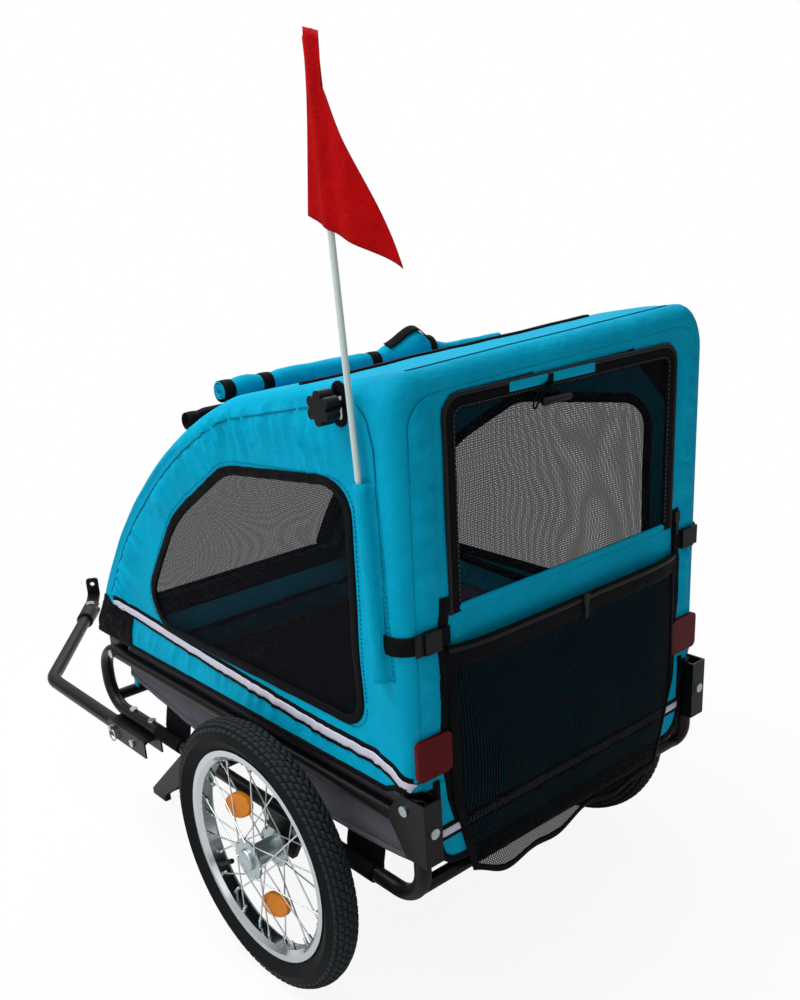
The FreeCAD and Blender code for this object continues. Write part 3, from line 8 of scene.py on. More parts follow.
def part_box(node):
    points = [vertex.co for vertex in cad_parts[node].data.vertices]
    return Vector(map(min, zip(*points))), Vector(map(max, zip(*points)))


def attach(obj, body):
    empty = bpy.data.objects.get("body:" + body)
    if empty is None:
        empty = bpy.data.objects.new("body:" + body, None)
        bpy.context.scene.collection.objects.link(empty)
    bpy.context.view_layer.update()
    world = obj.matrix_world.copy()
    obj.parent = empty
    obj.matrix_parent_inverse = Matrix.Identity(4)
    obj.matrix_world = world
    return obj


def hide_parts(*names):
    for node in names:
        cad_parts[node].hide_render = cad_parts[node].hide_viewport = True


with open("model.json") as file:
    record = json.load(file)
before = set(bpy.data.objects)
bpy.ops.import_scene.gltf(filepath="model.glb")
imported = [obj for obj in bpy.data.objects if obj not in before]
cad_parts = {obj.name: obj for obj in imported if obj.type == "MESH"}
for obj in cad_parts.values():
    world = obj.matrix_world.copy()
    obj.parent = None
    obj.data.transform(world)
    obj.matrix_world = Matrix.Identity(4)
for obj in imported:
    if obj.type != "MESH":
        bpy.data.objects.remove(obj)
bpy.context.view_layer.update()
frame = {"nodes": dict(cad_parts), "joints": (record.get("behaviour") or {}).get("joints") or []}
scene = bpy.context.scene
scene.view_settings.view_transform = "Standard"
axleY = [j for j in frame["joints"] if j["name"] == "wheel_left_spin"][0]["pos_m"][1]
print("frame loaded:", len(frame["nodes"]), "nodes, axle at y", round(axleY, 4))


def at(x, y, z):  # millimetres, y counted from the axle, to metres in the frame
    return Vector((x / 1000, y / 1000 + axleY, z / 1000))


def sizeOf(p):  # back from metres in the frame to millimetres from the axle
    return p.x * 1000, (p.y - axleY) * 1000, p.z * 1000


# materials
def linear(hexColour):
    parts = [int(hexColour[i:i + 2], 16) / 255 for i in (1, 3, 5)]
    return tuple(c / 12.92 if c <= 0.04045 else ((c + 0.055) / 1.055) ** 2.4 for c in parts) + (1.0,)


def addNode(material, kind, inputs=None, stops=(), **settings):
    made = material.node_tree.nodes.new(kind)
    for name, value in settings.items():
        setattr(made, name, value)
    for number, (place, colour) in enumerate(stops):
        made.color_ramp.elements[number].position = place
        made.color_ramp.elements[number].color = linear(colour)
    for socket, value in (inputs or {}).items():
        if isinstance(value, bpy.types.NodeSocket):
            material.node_tree.links.new(value, made.inputs[socket])
        else:
            made.inputs[socket].default_value = value
    return made


def wire(material, source, target):
    material.node_tree.links.new(source, target)


def newMaterial(name, **shader):
    material = bpy.data.materials.new(name)
    material.use_nodes = True
    surface = material.node_tree.nodes["Principled BSDF"]
    for socket, value in shader.items():
        surface.inputs[socket.replace("_", " ")].default_value = value
    return material, surface


def wovenCloth(name, colour, dark, threadMm, sheen, roughness=0.75, gloss=0.05):
    # coated plain-weave polyester: fine thread grid, little shine, faint uneven dye and small creases
    material, surface = newMaterial(name, Roughness=roughness, Sheen_Weight=sheen, Sheen_Roughness=0.5,
                                    Sheen_Tint=linear(colour), Specular_IOR_Level=gloss)
    place = addNode(material, "ShaderNodeTexCoord").outputs["Object"]
    tint = addNode(material, "ShaderNodeTexNoise",
                   {"Vector": place, "Scale": 9.0, "Detail": 4.0, "Roughness": 0.6})
    dye = addNode(material, "ShaderNodeValToRGB", {"Fac": tint.outputs["Fac"]}, ((0.3, dark), (0.72, colour)))
    wire(material, dye.outputs["Color"], surface.inputs["Base Color"])
    threads = {"Vector": place, "Scale": 1000 / threadMm / math.tau, "Distortion": 0.4, "Detail": 1.0}
    bands = [addNode(material, "ShaderNodeTexWave", threads, bands_direction=way).outputs["Fac"]
             for way in ("Z", "DIAGONAL")]
    weave = addNode(material, "ShaderNodeMath", {0: bands[0], 1: bands[1]}, operation="MAXIMUM")
    fine = addNode(material, "ShaderNodeBump",
                   {"Height": weave.outputs[0], "Strength": 0.2, "Distance": 0.0006})
    crease = addNode(material, "ShaderNodeTexNoise",
                     {"Vector": place, "Scale": 30.0, "Detail": 5.0, "Roughness": 0.55, "Distortion": 0.8})
    soft = addNode(material, "ShaderNodeBump",
                   {"Height": crease.outputs["Fac"], "Strength": 0.7, "Distance": 0.005,
                    "Normal": fine.outputs["Normal"]})
    wire(material, soft.outputs["Normal"], surface.inputs["Normal"])
    return material


def openNet(name, colour, pitchMm, cover):
    # knitted polyester net: dark yarn on a square pitch with open holes, so two layers make moire rings
    material, surface = newMaterial(name, Base_Color=linear(colour), Roughness=0.8, Specular_IOR_Level=0.04)
    place = addNode(material, "ShaderNodeTexCoord").outputs["Object"]
    split = addNode(material, "ShaderNodeSeparateXYZ", {"Vector": place})
    level = addNode(material, "ShaderNodeMath", {0: split.outputs["X"], 1: split.outputs["Y"]},
                    operation="ADD")
    turns = math.tau * 1000 / pitchMm
    waves = []
    for along in (level.outputs[0], split.outputs["Z"]):
        turn = addNode(material, "ShaderNodeMath", {0: along, 1: turns}, operation="MULTIPLY")
        waves.append(addNode(material, "ShaderNodeMath", {0: turn.outputs[0]}, operation="COSINE").outputs[0])
    thread = addNode(material, "ShaderNodeMath", {0: waves[0], 1: waves[1]}, operation="MAXIMUM")
    yarn = addNode(material, "ShaderNodeMapRange",
                   {"Value": thread.outputs[0], "From Min": -0.5, "From Max": 0.6,
                    "To Min": max(cover - 0.32, 0), "To Max": min(cover + 0.28, 1)})
    clear = addNode(material, "ShaderNodeBsdfTransparent")
    mix = addNode(material, "ShaderNodeMixShader", {"Fac": yarn.outputs["Result"], 1: clear.outputs["BSDF"],
                                                    2: surface.outputs["BSDF"]})
    wire(material, mix.outputs["Shader"], material.node_tree.nodes["Material Output"].inputs["Surface"])
    return material


def grainy(name, colour, grainMm, depthMm, roughness, spread=0.1, **shader):
    # coated, moulded, plated or drawn surface: fine grain in the height and in the gloss
    material, surface = newMaterial(name, Base_Color=linear(colour), **shader)
    place = addNode(material, "ShaderNodeTexCoord").outputs["Object"]
    grain = addNode(material, "ShaderNodeTexNoise", {"Vector": place, "Scale": 1000 / grainMm, "Detail": 3.0})
    gloss = addNode(material, "ShaderNodeMapRange",
                    {"Value": grain.outputs["Fac"], "To Min": roughness - spread,
                     "To Max": roughness + spread})
    wire(material, gloss.outputs["Result"], surface.inputs["Roughness"])
    bump = addNode(material, "ShaderNodeBump", {"Height": grain.outputs["Fac"], "Strength": 0.4,
                                                "Distance": depthMm / 1000})
    wire(material, bump.outputs["Normal"], surface.inputs["Normal"])
    return material


def prismLens(name, colour, deep, cellMm):
    # injection-moulded acrylic lens: a smooth skin over a grid of corner prisms
    material, surface = newMaterial(name, Roughness=0.3, Specular_IOR_Level=0.07)
    place = addNode(material, "ShaderNodeTexCoord").outputs["Object"]
    cells = addNode(material, "ShaderNodeTexVoronoi",
                    {"Vector": place, "Scale": 1000 / cellMm, "Randomness": 0.0})
    tint = addNode(material, "ShaderNodeValToRGB", {"Fac": cells.outputs["Distance"]},
                   ((0.1, colour), (0.7, deep)))
    wire(material, tint.outputs["Color"], surface.inputs["Base Color"])
    bump = addNode(material, "ShaderNodeBump",
                   {"Height": cells.outputs["Distance"], "Strength": 0.5, "Distance": 0.0008})
    wire(material, bump.outputs["Normal"], surface.inputs["Normal"])
    return material


# 0.5 mm threads and 1.5 mm net holes are too fine to show, so they are drawn 1.5 to 3 mm wide

# plain weave with a coated back: even, matt colour with a fine grid in it
turquoiseOxford = wovenCloth("turquoise_oxford_polyester", "#00a1c5", "#0095b9", 2.4, 0.02)
blackOxford = wovenCloth("black_oxford_polyester", "#0b0d10", "#06070a", 2.4, 0.03)
greyOxford = wovenCloth("grey_oxford_polyester", "#5c5c65", "#4d4d56", 2.4, 0.05)
# coarser weaves: webbing with a little gloss, braided elastic, thin nylon and sewing thread
blackWebbing = wovenCloth("black_woven_webbing", "#0c0d10", "#07080a", 3.0, 0.04, 0.65)
elasticCord = wovenCloth("black_elastic_cord", "#0c0d10", "#07080a", 1.5, 0.03)
flagNylon = wovenCloth("red_flag_nylon", "#ab0004", "#980003", 2.4, 0.02, 0.6)
tealThread = wovenCloth("turquoise_sewing_thread", "#01728f", "#016480", 3.0, 0.0)
# open knit: a dark haze that the inside shows through, denser on the pocket
windowNet = openNet("black_window_net", "#0c0e12", 3.0, 0.56)
pocketNet = openNet("black_pocket_net", "#07090c", 3.0, 0.885)
# sprayed and baked powder: satin black, with soft streaks of light along the tubes
powderCoat = grainy("black_powder_coat", "#08080a", 1.2, 0.05, 0.36, Specular_IOR_Level=0.17)
# moulded nylon and extruded board: dull black with a fine grain
mouldedNylon = grainy("black_moulded_nylon", "#08090b", 0.8, 0.05, 0.45, Specular_IOR_Level=0.2)
hollowBoard = grainy("black_hollow_board", "#15161a", 3.0, 0.1, 0.6, Specular_IOR_Level=0.2)
# moulded rubber: no gloss, and the tread blocks drawn greyer than the wall and the grooves between them
tyreRubber = grainy("moulded_tyre_rubber", "#090b0d", 1.0, 0.08, 0.7, Specular_IOR_Level=0.12)
treadRubber = grainy("grey_tread_rubber", "#20262a", 1.0, 0.08, 0.75, Specular_IOR_Level=0.15)
# plated, drawn, polished and ground metal: from cloudy grey to a near mirror on the rim
zincPlate = grainy("zinc_plated_steel", "#aab5b8", 1.5, 0.02, 0.34, Metallic=1.0)
spokeWire = grainy("zinc_plated_wire", "#c9d0d2", 2.0, 0.01, 0.3, Metallic=1.0)
polishedAlloy = grainy("polished_aluminium", "#b9bfc2", 2.5, 0.01, 0.16, 0.05, Metallic=1.0)
bearingSteel = grainy("ground_bearing_steel", "#8f9598", 2.0, 0.01, 0.3, Metallic=1.0)
# drawn glass fibre: smooth and off-white; glass beads in tape: pale from every side
fibreRod = grainy("white_glass_fibre_rod", "#c3d3d0", 2.0, 0.02, 0.4, Specular_IOR_Level=0.3)
silverTape = grainy("glass_bead_reflective_tape", "#c2c3d4", 1.0, 0.03, 0.5, Metallic=0.25)
# moulded acrylic: deep colour broken up by its prisms
amberLens = prismLens("amber_acrylic_lens", "#de880a", "#bb6604", 3.0)
redLens = prismLens("red_acrylic_lens", "#6c0711", "#40040a", 3.5)

cadFinish = {
    tyreRubber: ["wheel_right_tyre", "wheel_left_tyre"],
    polishedAlloy: ["wheel_right_rim", "wheel_left_rim"],
    zincPlate: ["wheel_right_hub", "wheel_left_hub", "axle_right", "axle_left", "hinge_pins", "hitch_bolt",
                "tow_lock_pin"],
    spokeWire: ["wheel_right_spokes", "wheel_left_spokes"],
    bearingSteel: ["wheel_right_bearings", "wheel_left_bearings"],
    amberLens: ["wheel_right_reflectors", "wheel_left_reflectors"],
    redLens: ["rear_reflectors"],
    powderCoat: ["hitch_plate", "axle_plates", "side_loop_right", "side_loop_left", "floor_cross_tubes",
                 "rear_brackets", "front_brackets", "rear_hoop", "front_hoop", "tow_bracket", "tow_bar",
                 "parking_stand"],
    mouldedNylon: ["knob_right", "knob_left", "handle_clamps", "buckle_sockets", "buckle_right_tongue",
                   "buckle_left_tongue", "tow_coupler", "door_zip_slider", "pocket_zip_slider"],
    hollowBoard: ["floor_panel"],
    fibreRod: ["flag_pole"],
}
for material, names in cadFinish.items():
    for name in names:
        frame["nodes"][name].data.materials.clear()
        frame["nodes"][name].data.materials.append(material)
print("materials:", len(bpy.data.materials))


# mesh helpers
def addPiece(name, mesh, material, body):
    piece = bpy.data.objects.new(name, mesh)
    scene.collection.objects.link(piece)
    mesh.materials.append(material)
    for face in mesh.polygons:
        face.use_smooth = True
    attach(piece, body)
    return piece


def gridMesh(name, rows, keep=None, closed=False, capped=False):
    columns = len(rows[0])
    points = [p for row in rows for p in row]
    faces = []
    for i in range(len(rows) - 1):
        for j in range(columns if closed else columns - 1):
            k = (j + 1) % columns
            face = (i * columns + j, i * columns + k, (i + 1) * columns + k, (i + 1) * columns + j)
            if keep is None or keep(*sizeOf(sum((points[v] for v in face), Vector()) / 4)):
                faces.append(face)
    mesh = bpy.data.meshes.new(name)
    mesh.from_pydata(points, [], faces)
    tidy = bmesh.new()
    tidy.from_mesh(mesh)
    bmesh.ops.delete(tidy, geom=[v for v in tidy.verts if not v.link_faces], context="VERTS")
    bmesh.ops.remove_doubles(tidy, verts=tidy.verts, dist=0.00001)
    if capped:
        bmesh.ops.holes_fill(tidy, edges=tidy.edges[:], sides=0)
    bmesh.ops.recalc_face_normals(tidy, faces=tidy.faces)
    tidy.to_mesh(mesh)
    tidy.free()
    return mesh


def clothSheet(name, rows, material, flat, body="base", keep=None, cloth=1.6, offset=0.0):
    # a piece of cloth from rows of points, its area held against the size that it was cut to
    mesh = gridMesh(name, rows, keep)
    area = sum(face.area for face in mesh.polygons)
    piece = addPiece(name, mesh, material, body)
    if cloth:
        solid = piece.modifiers.new("thickness", "SOLIDIFY")
        solid.thickness = cloth / 1000
        solid.offset = offset
    whole = flat[0] * flat[1]
    if not 0.3 * whole <= area <= 1.001 * whole:
        print("check the cut of", name, round(area, 4), "of", round(whole, 4))
    return piece


def inside(y, z, outline):  # is a point of a flat panel inside an outline
    hit = False
    for i, (y0, z0) in enumerate(outline):
        y1, z1 = outline[i - 1]
        if (z0 > z) != (z1 > z) and y < (y1 - y0) * (z - z0) / (z1 - z0) + y0:
            hit = not hit
    return hit


def roundCorners(outline, radii, steps=7):
    rounded = []
    for i, corner in enumerate(outline):
        radius = radii[i] if isinstance(radii, (list, tuple)) else radii
        here = Vector(corner)
        back = (Vector(outline[i - 1]) - here).normalized()
        on = (Vector(outline[(i + 1) % len(outline)]) - here).normalized()
        half = back.angle(on) / 2
        reach = radius / math.tan(half)
        centre = here + (back + on).normalized() * (radius / math.sin(half))
        start, finish = here + back * reach - centre, here + on * reach - centre
        for k in range(steps + 1):
            rounded.append(tuple(centre + start.lerp(finish, k / steps).normalized() * radius))
    return rounded


def resample(points, spacing, closed=False):
    run = points + points[:1] if closed else points
    lengths = [(b - a).length for a, b in zip(run, run[1:])]
    count = max(2, round(sum(lengths) / spacing))
    out = []
    for k in range(count if closed else count + 1):
        want = sum(lengths) * k / count
        i = 0
        while i < len(lengths) - 1 and want > lengths[i]:
            want -= lengths[i]
            i += 1
        out.append(run[i].lerp(run[i + 1], min(want / lengths[i], 1) if lengths[i] else 0))
    return out


def flatLine(outline, spacing, closed=False):  # even steps along an outline of (across, up) places
    return [(p.x, p.y) for p in resample([Vector((a, b, 0)) for a, b in outline], spacing, closed)]


def ribbon(name, points, normal, width, thick, material, body="base", closed=False,
           lift=0.0):
    # a tape that follows a line of points, with its face along normal(point)
    rows = []
    count = len(points)
    for i, p in enumerate(points):
        before = points[i - 1] if i or closed else p
        after = points[(i + 1) % count] if i < count - 1 or closed else p
        up = normal(p)
        across = (after - before).normalized().cross(up).normalized() * (width / 2000)
        base = p + up * (lift / 1000)
        high = up * (thick / 1000)
        rows.append([base - across, base - across * 0.96 + high * 0.7, base - across * 0.4 + high,
                     base + across * 0.4 + high, base + across * 0.96 + high * 0.7, base + across])
    if closed:
        rows.append(rows[0])
    return addPiece(name, gridMesh(name, rows, closed=True, capped=not closed), material, body)


tapeProfile = ((-1, -0.4), (-0.96, 0.6), (-0.5, 1), (0, 1), (0.5, 1), (0.96, 0.6), (1, -0.4), (0, -0.4))


def clothTape(name, line, place, width, thick, material, body="base", closed=False,
              lift=0.6):
    # a tape sewn flat onto a cloth: place(a, b, lift) lays every point of its section on the surface
    rows = []
    count = len(line)
    for i, (a, b) in enumerate(line):
        a0, b0 = line[i - 1] if i or closed else line[i]
        a1, b1 = line[(i + 1) % count] if i < count - 1 or closed else line[i]
        run = math.hypot(a1 - a0, b1 - b0) or 1
        acrossA, acrossB = (b1 - b0) / run * width / 2, (a0 - a1) / run * width / 2
        rows.append([place(a + acrossA * s, b + acrossB * s, lift + thick * h) for s, h in tapeProfile])
    if closed:
        rows.append(rows[0])
    return addPiece(name, gridMesh(name, rows, closed=True, capped=not closed), material, body)


def rodRows(points, radii, sides):
    rows = []
    for i, p in enumerate(points):
        along = (points[min(i + 1, len(points) - 1)] - points[max(i - 1, 0)]).normalized()
        side = along.orthogonal().normalized() if not rows else (side - along * side.dot(along)).normalized()
        other = along.cross(side)
        ring = [side * math.cos(math.tau * k / sides) + other * math.sin(math.tau * k / sides)
                for k in range(sides)]
        rows.append([p + spoke * (radii[i] / 1000) for spoke in ring])
    return rows


def rodPiece(name, points, radii, material, body="base", sides=16):
    return addPiece(name, gridMesh(name, rodRows(points, radii, sides), closed=True, capped=True), material,
                    body)


def smallParts(name, shapes, material, body):  # many small shapes as one mesh, each (points, faces)
    verts, faces = [], []
    for points, quads in shapes:
        first = len(verts)
        verts += points
        faces += [tuple(first + v for v in quad) for quad in quads]
    mesh = bpy.data.meshes.new(name)
    mesh.from_pydata(verts, [], faces)
    return addPiece(name, mesh, material, body)


blockFaces = ((4, 5, 6, 7), (0, 1, 5, 4), (1, 2, 6, 5), (2, 3, 7, 6), (3, 0, 4, 7), (3, 2, 1, 0))


def block(base, along, across, up, inset=0.8):  # a low block with a drawn-in top, from its half sizes
    low = [base - along - across, base - along + across, base + along + across, base + along - across]
    high = [base + up + (p - base) * inset for p in low]
    return low + high, blockFaces


def stitches(name, points, normal, material=tealThread, body="base", width=0.9):
    shapes = []
    for a, b in zip(points, points[1:]):
        up = normal(a)
        along = (b - a) * 0.32
        across = along.cross(up).normalized() * (width / 2000)
        shapes.append(block(a.lerp(b, 0.5) + up * 0.0003, along, across, up * 0.0008))
    return smallParts(name, shapes, material, body)


# camera, light and floor
photoView = {"place": (-1012.5, -1145.4, 1089.3), "turn": (69.0477, 3.4582, -40.4105), "sensor": 36,
             "lens": 39.23, "shift": (0.0208, 0.0931)}
camera = bpy.data.objects.new("photo_camera", bpy.data.cameras.new("photo_camera"))
scene.collection.objects.link(camera)
camera.location = at(*photoView["place"])
camera.rotation_euler = [math.radians(a) for a in photoView["turn"]]
camera.data.sensor_width = photoView["sensor"]
camera.data.lens = photoView["lens"]
camera.data.shift_x, camera.data.shift_y = photoView["shift"]
scene.camera = camera

studio = {
    "key": {"place": (-1100, 900, 3300), "size": 2.4, "power": 106},
    "fill": {"place": (-2600, -900, 1300), "size": 2.2, "power": 15},
    "back": {"place": (1700, 1900, 2400), "size": 2.2, "power": 24},
    "skyFill": 0.33, "aim": (0, 0, 500), "floorHalf": 40, "floorLevel": -0.0012,
}
for name in ("key", "fill", "back"):
    light = bpy.data.lights.new(name + "_light", "AREA")
    light.shape = "SQUARE"
    light.size = studio[name]["size"]
    light.energy = studio[name]["power"]
    holder = bpy.data.objects.new(name + "_light", light)
    scene.collection.objects.link(holder)
    holder.location = at(*studio[name]["place"])
    holder.rotation_euler = (at(*studio["aim"]) - holder.location).to_track_quat("-Z", "Y").to_euler()

world = bpy.data.worlds.new("studio_world")
scene.world = world
world.use_nodes = True
sky = world.node_tree.nodes["Background"]
sky.inputs["Color"].default_value = (1, 1, 1, 1)
paths = addNode(world, "ShaderNodeLightPath")
seen = addNode(world, "ShaderNodeMath",
               {0: paths.outputs["Is Camera Ray"], 1: paths.outputs["Is Glossy Ray"]}, operation="MAXIMUM")
shown = addNode(world, "ShaderNodeMath", {0: seen.outputs[0], 1: paths.outputs["Is Transmission Ray"]},
                operation="MAXIMUM")
level = addNode(world, "ShaderNodeMapRange",
                {"Value": shown.outputs[0], "To Min": studio["skyFill"], "To Max": 1.0})
# bright metal mirrors a studio that is dark low down and bright above, so that it keeps its contrast
skyPlace = addNode(world, "ShaderNodeTexCoord").outputs["Generated"]
skyward = addNode(world, "ShaderNodeSeparateXYZ", {"Vector": skyPlace})
mirrored = addNode(world, "ShaderNodeMapRange",
                   {"Value": skyward.outputs["Z"], "From Min": 0.0, "From Max": 0.5, "To Min": 0.12,
                    "To Max": 1.0})
dimmed = addNode(world, "ShaderNodeMix",
                 {0: paths.outputs["Is Glossy Ray"], 2: 1.0, 3: mirrored.outputs["Result"]})
strength = addNode(world, "ShaderNodeMath", {0: level.outputs["Result"], 1: dimmed.outputs[0]},
                   operation="MULTIPLY")
wire(world, strength.outputs[0], sky.inputs["Strength"])

floorMesh = bpy.data.meshes.new("studio_floor")
floorCorners = [Vector((a * studio["floorHalf"], b * studio["floorHalf"], studio["floorLevel"]))
                for a, b in ((-1, -1), (1, -1), (1, 1), (-1, 1))]
floorMesh.from_pydata(floorCorners, [], [(0, 1, 2, 3)])
studioFloor = bpy.data.objects.new("studio_floor", floorMesh)
scene.collection.objects.link(studioFloor)
paleFloor, floorSurface = newMaterial("pale_studio_floor", Base_Color=(0.85, 0.85, 0.85, 1), Roughness=0.9,
                                      Specular_IOR_Level=0.0)
floorPaths = addNode(paleFloor, "ShaderNodeLightPath")
floorPlace = addNode(paleFloor, "ShaderNodeTexCoord")
far = addNode(paleFloor, "ShaderNodeVectorMath", {0: floorPlace.outputs["Object"]}, operation="LENGTH")
fade = addNode(paleFloor, "ShaderNodeMapRange",
               {"Value": far.outputs["Value"], "From Min": 0.5, "From Max": 1.9, "To Min": 0.9,
                "To Max": 1.0})
whiter = addNode(paleFloor, "ShaderNodeMath",
                 {0: floorPaths.outputs["Is Camera Ray"], 1: fade.outputs["Result"]}, operation="MULTIPLY")
glow = addNode(paleFloor, "ShaderNodeEmission", {"Color": (1, 1, 1, 1), "Strength": 1.0})
floorMix = addNode(paleFloor, "ShaderNodeMixShader",
                   {"Fac": whiter.outputs[0], 1: floorSurface.outputs["BSDF"], 2: glow.outputs["Emission"]})
wire(paleFloor, floorMix.outputs["Shader"], paleFloor.node_tree.nodes["Material Output"].inputs["Surface"])
floorMesh.materials.append(paleFloor)
print("camera, lights and floor set")

# cabin canopy: one sheet over both sides, the roof and the front
canopy = {"halfWidth": 284, "topTaper": 4, "foot": 384, "rearFoot": 397, "back": -286, "backRound": 20,
          "roofTop": 899, "roofEdge": 24, "roofFront": 34, "bowFoot": (515, 388), "bowHead": (40, 824),
          "bow": 62, "skin": 13, "edge": 18, "rearEdge": 24, "step": 5.0}
# how the stretched cloth gives: tilt and crown of the roof, hollow of the sides, height of the folds
slack = {"roofHalf": 262, "tilt": 16.5, "tiltDrop": 7.5, "crown": 6.5, "hollow": 2.0, "broadRuffle": 2.4,
         "fineRuffle": 1.3, "headFolds": 13.0, "headZ": 806, "footFolds": 6.0, "footZ": 410,
         "cornerFolds": 3.0, "bowFolds": 11.0, "fromBow": 44, "behindHoop": 4}
(bowFootY, bowFootZ), (bowHeadY, bowHeadZ) = canopy["bowFoot"], canopy["bowHead"]
bowChord = math.hypot(bowFootY - bowHeadY, bowHeadZ - bowFootZ)
bowRadius = (bowChord ** 2 / 4 + canopy["bow"] ** 2) / (2 * canopy["bow"])
bowY = (bowFootY + bowHeadY) / 2 - (bowHeadZ - bowFootZ) / bowChord * (bowRadius - canopy["bow"])
bowZ = (bowFootZ + bowHeadZ) / 2 - (bowFootY - bowHeadY) / bowChord * (bowRadius - canopy["bow"])
bowRadius += canopy["skin"]
bowLow = math.atan2(bowFootZ - bowZ, bowFootY - bowY)
bowHigh = math.atan2(bowHeadZ - bowZ, bowHeadY - bowY)


def bowTop(y):
    return bowZ + math.sqrt(max(bowRadius ** 2 - (y - bowY) ** 2, 0))


def onBow(x, share, lift=0.0):  # a place on the front's curve, from its foot at 0 to the roof at 1
    turn = bowLow + share * (bowHigh - bowLow)
    return at(x, bowY + (bowRadius + lift) * math.cos(turn), bowZ + (bowRadius + lift) * math.sin(turn))


def bowNormal(p):
    return (p - Vector((p.x, bowY / 1000 + axleY, bowZ / 1000))).normalized()


def topLine():  # the canopy's middle line from the top of the back, over the roof, to the nose
    c = canopy
    turnY, turnZ = c["back"] + c["roofEdge"], c["roofTop"] - c["roofEdge"]
    line = [Vector((0, turnY - c["roofEdge"] * math.cos(a), turnZ + c["roofEdge"] * math.sin(a)))
            for a in [k * math.pi / 24 for k in range(13)]]
    line.append(Vector((0, c["roofFront"], bowTop(c["roofFront"]))))
    first = math.atan2(bowTop(c["roofFront"]) - bowZ, c["roofFront"] - bowY)
    last = math.asin((c["foot"] + 6 - bowZ) / bowRadius)
    turns = [first + (last - first) * k / 40 for k in range(1, 41)]
    return line + [Vector((0, bowY + bowRadius * math.cos(a), bowZ + bowRadius * math.sin(a))) for a in turns]


def clamp(value, low=0.0, high=1.0):
    return min(max(value, low), high)


def sideReach(y, z):  # half width of the cabin at a place on its side
    c = canopy
    reach = c["halfWidth"] - c["topTaper"] * clamp((z - c["foot"]) / (c["roofTop"] - c["foot"]))
    inset = clamp(c["backRound"] - (y - c["back"]), 0, c["backRound"])
    return reach - c["backRound"] + math.sqrt(c["backRound"] ** 2 - inset ** 2)


def footAt(y):
    return canopy["foot"] + (canopy["rearFoot"] - canopy["foot"]) * clamp((-238 - y) / 26)


def ruffle(x, y, z):  # soft unevenness of stretched cloth, in millimetres
    broad = noise.noise(Vector((x * 0.006, y * 0.006, z * 0.009)))
    fine = noise.noise(Vector((x * 0.021 + 7, y * 0.021, z * 0.013)))
    return slack["broadRuffle"] * broad + slack["fineRuffle"] * fine


def pulled(across, along, seed):  # a pull fold: thin ridges that run one way
    broad = (1 - abs(noise.noise(Vector((across, along, seed))))) ** 5
    return 0.7 * broad + 0.3 * (1 - abs(noise.noise(Vector((across * 2.1, along * 1.4, seed + 3))))) ** 4


def looseRoof(x, y):  # the slack of the roof: higher towards the right, a little crowned from front to back
    half = slack["roofHalf"]
    tilt = slack["tilt"] * (clamp(x, -half, half) + half) / (2 * half) - slack["tiltDrop"]
    fade = 0.5 - 0.5 * math.cos(math.pi * clamp((60 - y) / 185))
    return tilt * fade + slack["crown"] * math.sin(math.pi * clamp((y + 262) / 296))


def edgeAt(y):  # the roof's side edges are rounder over the rear hoop
    return canopy["edge"] + canopy["rearEdge"] * clamp((-190 - y) / 80)


def sideAt(side, y, z, lift=0.0):
    s = slack
    edge = min(1, clamp((z - footAt(y)) / 30), clamp((y - canopy["back"]) / 30))
    hollow = -s["hollow"] * edge * math.sin(math.pi * clamp((y + 300) / 700)) if y > -230 else 0
    head = s["headFolds"] * pulled(y * 0.042, z * 0.006, side)  # above the window
    folds = head * math.exp(-((z - s["headZ"]) / 44) ** 2) * clamp((y + 190) / 40)
    foot = s["footFolds"] * pulled(y * 0.03 + z * 0.016, z * 0.003, side + 5)  # above the hem
    folds += foot * math.exp(-((z - s["footZ"]) / 24) ** 2)
    corner = s["cornerFolds"] * pulled(z * 0.03 + y * 0.01, y * 0.006, side + 9)  # down the rear corner
    folds += corner * clamp((-250 - y) / 12) * clamp((y + 284) / 14)
    fromBow = bowRadius - math.hypot(y - bowY, z - bowZ)
    along = math.atan2(z - bowZ, y - bowY) * bowRadius
    nearBow = math.exp(-((fromBow - s["fromBow"]) / 34) ** 2)
    nearBow = nearBow * clamp((fromBow - 20) / 14) * clamp((y - 20) / 60)
    folds += s["bowFolds"] * pulled(along * 0.04, fromBow * 0.007, side + 13) * nearBow
    out = hollow + edge * (ruffle(side * canopy["halfWidth"], y, z) + folds - 1.2)
    out = max(out, -s["behindHoop"] * clamp((y + 236) / 20))  # the rear hoop stands right behind the cloth
    return at(side * (sideReach(y, z) + out + lift), y, z)


def roofHeight(y):
    c = canopy
    rise = (bowTop(c["roofFront"]) - c["roofTop"]) / (c["roofFront"] - c["back"] - c["roofEdge"])
    return c["roofTop"] + rise * (y - c["back"] - c["roofEdge"])


def roofAt(x, y, top, lift=0.0):
    rise = 0.8 * clamp((y - canopy["back"]) / 60) * ruffle(x, y, top) + looseRoof(x, y)
    return at(x, y, top + rise + lift)


sideSteps, edgeSteps, roofSteps = 76, 7, 66  # faces round one row of the canopy
canopyRows = []
for station in resample(topLine(), canopy["step"]):
    y, top = station.y, station.z
    foot = footAt(y)
    edge = min(edgeAt(y), (top - foot) * 0.45)
    reach = sideReach(y, top - edge)
    walls = []
    for side in (-1, 1):
        wall = [sideAt(side, y, foot + (top - edge - foot) * k / sideSteps) for k in range(sideSteps + 1)]
        for k in range(1, edgeSteps):
            a = k / edgeSteps * math.pi / 2
            x = side * (reach - edge + edge * math.cos(a))
            out = 0.6 * clamp((y - canopy["back"]) / 60) * ruffle(x, y, top)
            wall.append(at(x + side * out * math.cos(a), y,
                           top - edge + (edge + out + looseRoof(x, y)) * math.sin(a)))
        walls.append(wall)
    inner = reach - edge
    roof = [roofAt(-inner + 2 * inner * k / roofSteps, y, top) for k in range(roofSteps + 1)]
    canopyRows.append(walls[0] + roof + walls[1][::-1])

